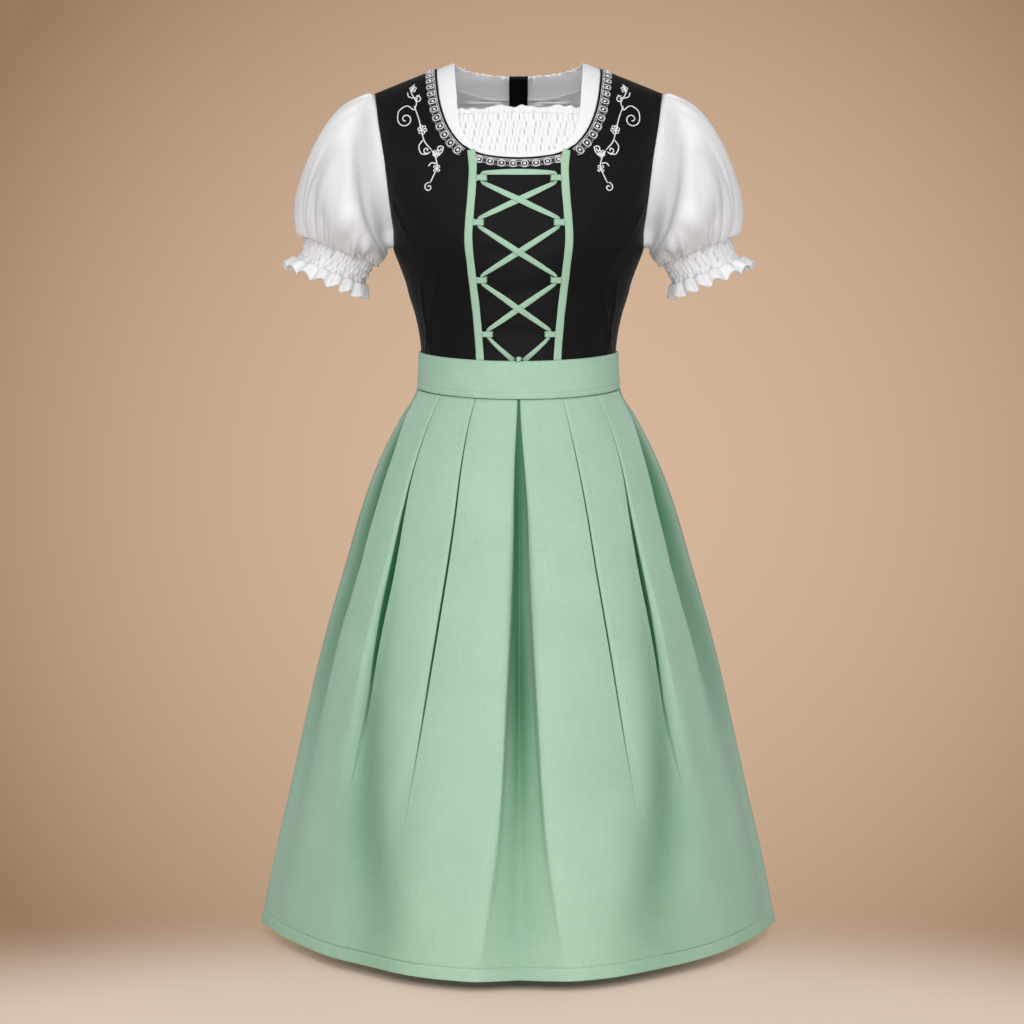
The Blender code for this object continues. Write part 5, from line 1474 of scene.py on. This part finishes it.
def skirt_drape(side, hand, angle, z, t):
    """Slow waves of the hanging cloth, the turned-up hem and its puckers."""
    turn = hand * from_front(side, angle)
    middle = np.clip(np.degrees(angle) / 8, 0, 1) * np.clip((90 - np.degrees(angle)) / 12, 0, 1)
    above_hem = z - HEM_Z
    calm = 1 - HEM_CALM * ramp(1 - above_hem / HEM_CALM_HEIGHT)
    out = DRAPE_OUT * waved(DRAPE_WAVES, turn, z) * np.clip(t * 1.4, 0, 1) * middle * calm
    turned_up = 0.5 - 0.5 * np.tanh((above_hem - HEM_STITCH) / HEM_EDGE)
    groove = hill((above_hem - HEM_STITCH) / HEM_GROOVE_WIDTH)
    pucker = rippled(turn, HEM_PUCKER_WAVES) * hill((above_hem - HEM_PUCKER_AT) / HEM_PUCKER_WIDTH)
    gather = rippled(turn, WAIST_GATHER_WAVES) * np.exp(-t / WAIST_GATHER_FADE)
    out = out + HEM_LAYER * turned_up - HEM_GROOVE * groove
    return out + (HEM_PUCKER * pucker + WAIST_GATHER * gather) * middle


def skirt_half(side):
    """Half the skirt, with its pressed pleats opening into soft folds."""
    height = WAIST_SIDE_Z - WAISTBAND_HEIGHT - HEM_Z
    share = np.linspace(0, 1, SKIRT_FINE_ROWS + 1) ** SKIRT_CLOSER
    share = share[share < 1 - (HEM_ROWS[0] + HEM_ROWS_CLEAR) / height]
    # tones holds each row's painted shade in the folds
    rows, tones = [], []
    for t in (*share, *(1 - row / height for row in HEM_ROWS)):
        (left, left_sunk), (right, right_sunk) = skirt_quarter(side, 1, t), skirt_quarter(side, -1, t)
        rows.append(np.concatenate([mirrored(right[1:], False)[::-1], left]))
        tones.append(np.concatenate([right_sunk[1:][::-1], left_sunk]))
    grid, sunk = np.array(rows), np.array(tones)
    name = f"skirt_{FACES[side]}"
    made = cloth(name, grid, "mint", SKIRT_SHELL, flip=side > 0, sunk=sunk)
    row = int(np.argmin(np.abs(grid[:, grid.shape[1] // 2, 2] - HEM_Z - HEM_STITCH)))
    normal = -side * normals_of(grid)[row]
    lines = [(grid[row] + normal * SEWN_OUT, normal)]
    sewn = stitches(name + "_hem_stitches", lines, "mint_thread", HEM_SEWING)


# Trims on the front


def crowned(x, z, out, width, across, crown):
    """A strip along a path on the front, rounded across like a pressed ribbon."""
    centre, lift = front_face(x, z, out)
    side = unit(np.cross(lift, np.gradient(centre, axis=0)))
    place = np.linspace(-0.5, 0.5, across)
    half = np.asarray(width)[:, None, None] * place[:, None] * side[:, None]
    rise = crown * (1 - (2 * np.abs(place)) ** 3)
    grid = centre[:, None] + half + lift[:, None] * rise[:, None]
    return grid, np.broadcast_to(lift[:, None], grid.shape)


def front_strap(left):
    foot = float(waist_z(math.asin(STRAP_LINE[-2].x / WAIST_HALF_WIDTH)))
    z = np.linspace(NECKLINE[-1].z - STRAP_ENDS, foot + STRAP_ENDS, 121)
    width = STRAP_WIDTH + STRAP_WAVER * np.sin(z * 180)
    out = np.full(z.shape, TRIM_OUT - STRAP_SUNK)
    grid, lift = crowned(strap_x(z), z, out, width, STRAP_POINTS, STRAP_CROWN)
    made = handed("front_strap", grid, left, "mint", thick=FINE_SHELL)
    lines = []
    for column in STRAP_SEWN_COLUMNS:
        points = grid[:, column] + lift[:, column] * SEWN_OUT
        lines.append((mirrored(points, left), mirrored(lift[:, column], left)))
    sewn = stitches(f"front_strap_{HANDS[left]}_stitches", lines, "mint_thread", STRAP_SEWING)


def lacing_loop(left, number):
    middle_z = LOOP_HEIGHTS[number - 1]
    share = np.linspace(0, 1, 29)
    swell = np.sin(math.pi * share)
    rise = np.sin(np.interp(share, *np.array(LOOP_PROFILE).T) * math.pi / 2)
    across = np.linspace(0.5, -0.5, 15)[:, None]
    width = LOOP_WIDTH * (1 - LOOP_PINCH * swell**2 + 0.05 * np.cos(number * 2.1 + 9 * share))
    z = middle_z + across * width + LOOP_SAG * math.sin(number * 1.7) * swell
    start = loop_centre_x(middle_z) - LOOP_LENGTH / 2 - LOOP_ENDS
    x = np.broadcast_to(start + share * (LOOP_LENGTH + 2 * LOOP_ENDS), z.shape)
    out = between(TRIM_OUT - LOOP_SUNK, LOOP_TOP, rise) + LOOP_FOLD * np.cos(across * 14 + number) * swell
    grid = torso_xz(-1, x, z, out)
    name = f"lacing_loop_{HANDS[left]}_{number}"
    made = cloth(name, mirrored(grid, left), "mint", LOOP_SHELL, flip=not left)


def strand(start, end, kind):
    """Points on the ribbon between two loops: taut, narrow at the loops and flat between them."""
    start, end = np.array(start), np.array(end)
    length = np.linalg.norm(end - start)
    rows = []
    for share in ROUTE_SHARES:
        x, z = start + (end - start) * share
        wide = math.sin(math.pi * share) ** 0.7
        width = ROUTE_NARROW + (ROUTE_WIDE - ROUTE_NARROW) * wide
        over = kind == "over" and abs(share - 0.5) * length < CROSS_REACH
        if kind == "level":
            z += ROUTE_TOP_ARCH * wide
        rows.append((x, z, RIBBON_HIGH if over else RIBBON_LOW, width))
    return rows


def lacing_route():
    """Places, heights and widths along the lacing, from one end at the waist to the other."""
    end_z = float(waist_z(0.0)) + RIBBON_END_UP
    path = [(-RIBBON_END_X, end_z, RIBBON_LOW, RIBBON_END_WIDTH)]
    for number, stop in enumerate(STOPS):
        middle = LOOP_HEIGHTS[stop.loop - 1]
        x = stop.hand * loop_centre_x(middle)
        reach = ROUTE_PAST_LOOP if number < len(STOPS) / 2 else -ROUTE_PAST_LOOP
        ends = [middle - reach, middle + reach]
        if stop.loop == 1:
            ends[stop.strand != "level"] = ROUTE_TOP_Z
        if stop.strand != "end":
            path += strand(path[-1][:2], (x, ends[0]), stop.strand)
        path += [(x, z, RIBBON_LOW, ROUTE_NARROW) for z in ends]
    path.append((RIBBON_END_X, end_z, RIBBON_LOW, RIBBON_END_WIDTH))
    return corner_cut(corner_cut(np.array(path)))


def lacing_ribbon():
    x, z, out, width = lacing_route().T
    grid, lift = crowned(x, z, out + RIBBON_LIFT, width, RIBBON_POINTS, RIBBON_CROWN)
    folded = np.clip((ROUTE_WIDE - width) / (ROUTE_WIDE - ROUTE_NARROW), 0, 1)[:, None]
    place = np.linspace(-0.5, 0.5, RIBBON_POINTS)
    ridge = 0.0007 * hill((place - 0.16) / 0.10) - 0.0004 * hill((place + 0.08) / 0.07)
    grid = grid + lift * (folded * ridge)[..., None]
    made = cloth("lacing_ribbon", grid, "mint", RIBBON_SHELL, flip=True)


def lacing_knot():
    """The tied knot at the waistband's edge: a wrap with creases round it."""
    shape = bmesh.new()
    bmesh.ops.create_uvsphere(shape, u_segments=48, v_segments=32, radius=1)
    centre = Vector(torso_xz(-1, 0.0, float(waist_z(0.0)) + KNOT_UP - KNOT_DROP, KNOT_OUT))
    for vert in shape.verts:
        crease = KNOT_CREASE * math.sin(7 * vert.co.x + 3 * vert.co.z)
        share = KNOT_SHARE + crease - KNOT_GROOVE * hill(vert.co.z / KNOT_GROOVE_WIDTH)
        vert.co = centre + Vector([place * half * share for place, half in zip(vert.co, KNOT_SIZE)])
    mesh = bpy.data.meshes.new("lacing_knot_cloth")
    shape.to_mesh(mesh)
    shape.free()
    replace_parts(add_object("lacing_knot_cloth", mesh, "mint"), "lacing_knot")


def back_tab():
    x = np.linspace(-TAB_HALF, TAB_HALF, 17)
    inside_z = np.linspace(TAB_INSIDE_Z - 0.006, TAB_TOP_Z, 30)[:, None]
    outside_z = np.linspace(TAB_TOP_Z, TAB_OUTSIDE_Z, 30)[:, None]
    reach = FINE_WALL + TAB_CLEAR
    inside = torso_xz(1, x, inside_z, NECK_BAND_OUT[1] - reach - FINE_WALL)
    outside = torso_xz(1, x, outside_z, NECK_BAND_OUT[1] + reach)
    turn = np.linspace(0, math.pi, 9)[1:-1, None, None]
    crest = between(inside[-1], outside[0], (1 - np.cos(turn)) / 2)
    crest = crest + np.array([0, 0, TAB_CREST]) * np.sin(turn)
    made = cloth("back_neck_tab", np.concatenate([inside, crest, outside]), "black", FINE_SHELL)


# Sleeves


def wrapped(turns):
    """Angles brought between minus pi and pi: 0 is the top of the sleeve."""
    return (turns + math.pi) % (2 * math.pi) - math.pi


def sleeve_relief(place, turn):
    """Gathers at the cap, short folds above the cuff, and the soft creases of the puff."""
    cap = np.clip((place - 0.25) / 0.25, 0, 1) / (1 + np.exp((np.abs(turn) - CAP_REACH) / CAP_FADE))
    fine = CAP_OUT * rippled(turn, CAP_WAVES) * np.exp(-place / 0.8)
    wide = CAP_WIDE_OUT * rippled(turn, CAP_WIDE_WAVES) * hill(place - 1.0)
    down = np.clip(SLEEVE_END - place, 0, SLEEVE_END)
    close = np.cos(turn * CUFF_FOLDS + 1.9 * np.sin(turn * 4 + 1.0) + 0.9 * np.sin(turn * 9))
    reach = CUFF_FOLD_REACH + CUFF_FOLD_VARIES * np.sin(turn * 7 + 2.0 * np.sin(turn * 2))
    loose = rippled(turn, CUFF_LOOSE_FOLDS) * np.exp(-down / CUFF_LOOSE_REACH)
    out = cap * (fine + wide) + CUFF_FOLD_OUT * (0.6 * close * hill(down / reach) + 0.5 * loose)
    for crease in SLEEVE_CREASES:
        apart = wrapped(turn - math.radians(crease.turn) - crease.slant * (place - crease.place))
        near = hill(apart / math.radians(crease.width)) * hill((place - crease.place) / crease.length)
        out = out - crease.depth * near
    return out


def sleeve(left):
    """The puff: from the armhole, out and down to the cuff, gathered at both."""
    turns = np.arange(SLEEVE_FINE.across) * 2 * math.pi / SLEEVE_FINE.across
    rings = [armhole_ring(turns, head.within, head.beyond, head.out) for head in SLEEVE_HEAD_FINE]
    for puff in PUFF:
        less = HOLLOW_LESS * hill(puff.place - 1.0) + CUFF_LESS * hill((puff.place - CUFF_LESS_AT) / 0.5)
        rings.append(ring_of(puff._replace(half_depth=puff.half_depth * (1 - less)), turns))
    places = np.array([row.place for row in (*SLEEVE_HEAD_FINE, *PUFF)])
    share = np.linspace(0, 1, SLEEVE_FINE.down + 1)
    at = np.clip(SLEEVE_END * share + SLEEVE_CLOSER * np.sin(2 * math.pi * share), 0, SLEEVE_END)[:, None]
    grid = loft(rings, places, at[:, 0])
    ends = np.clip(at / SLEEVE_ENDS, 0, 1) * ramp((SLEEVE_END - at) / SLEEVE_ENDS)
    out = sleeve_relief(at, wrapped(turns)[None, :]) * ends
    grid = grid + out[..., None] * ring_normals(grid)
    # Painted shade in the hollows of the creases and folds
    sunk = np.clip(-out / SLEEVE_SUNK, 0, SLEEVE_SUNK_MOST)
    made = handed("sleeve", grid, left, "white", thick=FINE_SHELL, closed=True, sunk=sunk)


def cuff(left):
    """Rows of elastic over the gathered cloth, and the free ruffle below them."""
    turns = np.arange(CUFF_FINE.across) * 2 * math.pi / CUFF_FINE.across
    foot = len(CUFF) - 1
    at = np.linspace(0, foot, CUFF_FINE.down + 1)
    grid = loft([ring_of(row, turns) for row in CUFF], np.arange(len(CUFF), dtype=float), at)
    wave_out = Cuff(*curve(CUFF, at).T).wave[:, None]
    at, turn = at[:, None], wrapped(turns)[None, :]
    warp = waved(RUFFLE_WARP, turn, 0)
    wave = np.cos(RUFFLE_WAVES * turn + warp) + 0.2 * np.cos(2 * RUFFLE_WAVES * turn + 1.7 * warp)
    in_rows = at / CUFF_SHIRR_END * CUFF_SHIRR_ROWS + 0 * turn
    bend = waved(CUFF_BEND, turn, in_rows)
    puffs = shirred(CUFF_PUCKERS * turn / (2 * math.pi), in_rows, CUFF_SEEDS[left], bend)
    elastic = np.clip((CUFF_SHIRR_ROWS + 0.1 - in_rows) / 0.2, 0, 1)
    past = np.maximum(0, at - CUFF_SHIRR_END)
    gathers = rippled(turn, CUFF_GATHER_WAVES) * np.clip(past / 0.3, 0, 1) * np.exp(-past / CUFF_GATHER_FADE)
    edge = np.clip((at - foot + 0.16) / 0.06, 0, 1) * np.clip((foot - at) / 0.02, 0, 1)
    out = wave_out * wave + CUFF_PUFF_OUT * puffs * elastic + CUFF_GATHER * gathers + RUFFLE_EDGE * edge
    hang = np.clip((at - RUFFLE_FROM) / (foot - RUFFLE_FROM), 0, 1) ** 2 * RUFFLE_DROP
    hang = hang * np.sin(RUFFLE_WAVES * turn + warp + 0.6)
    down = unit(np.gradient(grid, axis=0))
    grid = grid + out[..., None] * ring_normals(grid) + hang[..., None] * down
    # Painted shade in the slits of the shirring
    sunk = (1 - puffs) * elastic
    made = handed("sleeve_cuff", grid, left, "white", thick=FINE_SHELL, closed=True, sunk=sunk)


# Lace round the neckline


def lace_places(edges, reach, mirror_over=False):
    """The neckline edge as places running towards +X, and its number of scallops."""
    x, z = neckline_path(edges, reach, SCALLOP_PITCH)
    if mirror_over:
        x, z = np.concatenate([-x, x[-2::-1]]), np.concatenate([z, z[-2::-1]])
    else:
        x, z = x[::-1], z[::-1]
    count = (len(x) - 1) // PATH_PARTS
    fine = np.linspace(0, len(x) - 1, SCALLOP_PARTS * count + 1)
    x, z = curve(np.stack([x, z], axis=-1), fine).T
    return x, z, count


def lace_plan(x, z, count, hold):
    """A function from scallops along and metres out from the edge to places on the bodice."""
    on_edge, lift = front_face(x, z, 0.0)
    away = unit(np.cross(np.gradient(on_edge, axis=0), lift))
    steps = np.linspace(0, count, len(x))

    def place(s, d, out):
        s, d = np.broadcast_arrays(np.asarray(s, float), np.asarray(d, float))
        at = along_line(s, steps, on_edge) + along_line(s, steps, away) * d[..., None]
        return torso_xz(-1, hold(at[..., 0], at[..., 2]), at[..., 2], out)

    return place


def lace_cords(count, s, outer, oval, wider):
    """The cords as scallops along, distances out from the edge, and radii."""
    fine = np.linspace(0, count, 2 * count * SCALLOP_PARTS + 1)
    zigzag = np.abs((fine * ZIGZAG_TURNS) % 1 - 0.5) * 2
    turn = np.linspace(0, 2 * math.pi, 21)
    cords = [(s, LACE_IN + cord.place + 0 * s, cord.radius) for cord in INNER_CORDS]
    cords.append((s, outer - OUTER_CORD.place, OUTER_CORD.radius))
    cords.append((fine, LACE_IN + ZIGZAG.place + ZIGZAG_REACH * zigzag, ZIGZAG.radius))
    for k in range(count):
        along = k + 0.5 + OVAL_ACROSS * np.cos(turn)
        cords.append((along, oval + wider * OVAL_OUT * np.sin(turn), OVAL_CORD))
    return cords


def thread(place, left, s, d, radius):
    """A cord's path for tubes()."""
    points = place(s, d, LACE_THREAD_OUT)
    lift = unit(place(s, d, LACE_THREAD_OUT + LIFT) - points)
    return mirrored(points, left), mirrored(lift, left), radius


def bead(place, left, s, oval):
    """A half bead's path for tubes(): from the net straight up, and narrower upwards."""
    foot = place(s, oval, LACE_NET_OUT)
    lift = unit(place(s, oval, LACE_NET_OUT + LIFT) - foot)
    rise = np.linspace(0, math.pi / 2 - BEAD_HOLE, 7)
    points = foot + lift * (BEAD_RADIUS * BEAD_FLAT * np.sin(rise))[:, None]
    normals = np.broadcast_to(unit(place(s + 0.1, oval, LACE_NET_OUT) - foot), points.shape)
    return mirrored(points, left), mirrored(normals, left), BEAD_RADIUS * np.cos(rise)


def lace_run(name, edge, hold, left=True, wider=1.0):
    """A net strip with scalloped edge, its cords, ovals and beads."""
    x, z, count = edge
    place = lace_plan(x, z, count, hold)
    s = np.linspace(0, count, count * SCALLOP_PARTS + 1)
    outer = LACE_IN + wider * (LACE_WIDTH + SCALLOP * np.abs(np.sin(math.pi * s)) ** 0.7)
    oval = LACE_IN + wider * (LACE_OVAL - LACE_IN)
    grid = place(s, between(LACE_IN, outer, np.linspace(0, 1, 9)[:, None]), LACE_NET_OUT)
    net = cloth(name, mirrored(grid, left), "net", NET_SHELL, flip=not left, kind="net")
    cords = lace_cords(count, s, outer, oval, wider)
    threads = tubes(name + "_threads", [thread(place, left, *cord) for cord in cords], "silver", sides=5)
    rows = [bead(place, left, k + 0.5, oval) for k in range(count)]
    beads = tubes(name + "_beads", rows, "bead", sides=14)


def lace_side(left):
    edge = lace_places(NECKLINE, (NECKLINE[-1].x + LACE_CLEAR, NECKLINE[0].x))

    def hold(x, z):
        return np.maximum(x, strap_x(z) + LACE_CLEAR)

    lace_run(f"neck_lace_{HANDS[left]}", edge, hold, left, LACE_SIDE_WIDER)


def lace_centre():
    edge = lace_places(NECKLINE_CENTRE, (0, NECKLINE[-1].x - LACE_CLEAR), mirror_over=True)

    def hold(x, z):
        most = strap_x(z) - LACE_CLEAR
        return np.clip(x, -most, most)

    lace_run("neck_lace_centre", edge, hold)


# Embroidery on the shoulders


def vine(points):
    """A smooth line through a few places."""
    return curve(points, np.linspace(0, len(points) - 1, STEM_POINTS))


def spiral(curl):
    """A curl that winds in to its middle."""
    share = np.linspace(0, 1, CURL_POINTS)
    turn = math.radians(curl.start) + curl.hand * 2 * math.pi * curl.turns * share
    radius = curl.radius * (1 - CURL_IN * share**0.9)
    return np.stack([curl.x + radius * np.cos(turn), curl.z + radius * np.sin(turn)], axis=-1)


def petals(flower):
    """Loops of thread round a middle knot."""
    lines = []
    share = np.linspace(0, 1, PETAL_POINTS)
    reach = flower.size * np.sin(math.pi * share) ** 0.8
    spread = flower.size * PETAL_SPREAD * np.sin(2 * math.pi * share)
    for k in range(flower.petals):
        turn = math.radians(flower.start) + k * 2 * math.pi / flower.petals
        x = flower.x + reach * math.cos(turn) - spread * math.sin(turn)
        z = flower.z + reach * math.sin(turn) + spread * math.cos(turn)
        lines.append(np.stack([x, z], axis=-1))
    return lines


def embroidery(left):
    lines = [(vine(stem), STEM_RADIUS) for stem in STEMS]
    lines += [(spiral(curl), STEM_RADIUS) for curl in CURLS]
    for flower in FLOWERS:
        lines += [(line, PETAL_RADIUS) for line in petals(flower)]
    paths = []
    for line, radius in lines:
        x, z = line.T / 1000
        points, lift = front_face(x, z, EMBROIDERY_OUT)
        from_end = np.minimum(np.arange(len(x)), np.arange(len(x))[::-1])
        taper = np.clip(from_end / TAPER_POINTS + TAPER_FROM, 0, 1)
        paths.append((mirrored(points, left), mirrored(lift, left), radius * taper))
    tubes(f"embroidery_{HANDS[left]}", paths, "silver", sides=6)


# Camera, light and stage


def add_camera():
    camera = bpy.data.objects.new("camera", bpy.data.cameras.new("camera"))
    camera.data.lens = LENS
    camera.data.sensor_width = 36.0
    camera.data.clip_end = 50
    camera.location = CAMERA_AT
    camera.rotation_euler = (math.radians(90 - CAMERA_DOWN), 0, 0)
    bpy.context.scene.collection.objects.link(camera)
    bpy.context.scene.camera = camera


def add_light(light):
    data = bpy.data.lights.new(light.name, "AREA")
    data.shape = "RECTANGLE"
    data.size, data.size_y = light.wide, light.high
    data.energy = light.power
    data.color = light.colour
    made = bpy.data.objects.new(light.name, data)
    made.location = light.place
    aim = Vector(light.aim) - Vector(light.place)
    made.rotation_euler = aim.to_track_quat("-Z", "Y").to_euler()
    bpy.context.scene.collection.objects.link(made)


def add_world():
    world = bpy.data.worlds.new("studio")
    bpy.context.scene.world = world
    world.use_nodes = True
    tree = world.node_tree
    tree.nodes.clear()
    place = node(tree, "ShaderNodeTexCoord").outputs["Generated"]
    towards = vectors(tree, "DOT_PRODUCT", "Value", place, BACKDROP_MIDDLE)
    edge = math.cos(math.radians(BACKDROP_REACH))
    lit = node(tree, "ShaderNodeMapRange", {"Value": towards, "From Min": edge, "From Max": 1.0})
    colour = mixed(tree, lit.outputs["Result"], (*BACKDROP_EDGE, 1), (*BACKDROP, 1))
    seen = node(tree, "ShaderNodeBackground", {"Color": colour, "Strength": 1.0})
    soft = node(tree, "ShaderNodeBackground", {"Color": (*AMBIENT, 1), "Strength": AMBIENT_POWER})
    by_camera = node(tree, "ShaderNodeLightPath").outputs["Is Camera Ray"]
    both = node(tree, "ShaderNodeMixShader", {0: by_camera, 1: soft.outputs[0], 2: seen.outputs[0]})
    node(tree, "ShaderNodeOutputWorld", {"Surface": both.outputs[0]})


def add_floor():
    """A pale round floor that fades out into the backdrop."""
    shape = bmesh.new()
    bmesh.ops.create_circle(shape, cap_ends=True, segments=96, radius=FLOOR_RADIUS)
    mesh = bpy.data.meshes.new("floor")
    shape.to_mesh(mesh)
    shape.free()
    floor = bpy.data.objects.new("floor", mesh)
    floor.location = (0, 0, FLOOR_Z)
    bpy.context.scene.collection.objects.link(floor)
    tree, shader = new_material("floor")
    place = node(tree, "ShaderNodeTexCoord").outputs["Object"]
    nearer = vectors(tree, "ADD", "Vector", place, (0, FLOOR_NEARER, 0))
    longer = vectors(tree, "MULTIPLY", "Vector", nearer, (FLOOR_LONGER, 1, 1))
    radius = vectors(tree, "LENGTH", "Value", longer)
    start, end = FLOOR_FADE
    reach = {"Value": radius, "From Min": start, "From Max": end, "To Min": 1.0, "To Max": 0.0}
    fade = node(tree, "ShaderNodeMapRange", reach, interpolation_type="SMOOTHERSTEP").outputs["Result"]
    feed(tree, shader, {"Base Color": (*FLOOR_COLOUR, 1), "Roughness": 0.9, "Alpha": fade})
    mesh.materials.append(bpy.data.materials["floor"])


def main():
    make_paints()
    for side in (-1, 1):
        blouse_body(side)
        neck_band(side)
        waistband(side)
        skirt_half(side)
    smocked_front()
    bodice_centre()
    for left in (True, False):
        bodice_front(left)
        bodice_back(left)
        front_strap(left)
        lace_side(left)
        sleeve(left)
        cuff(left)
        embroidery(left)
        for number in range(1, len(LOOP_HEIGHTS) + 1):
            lacing_loop(left, number)
    lacing_ribbon()
    lacing_knot()
    lace_centre()
    back_tab()
    add_camera()
    for light in LIGHTS:
        add_light(light)
    add_world()
    add_floor()
    bpy.context.scene.view_settings.view_transform = "Standard"


main()
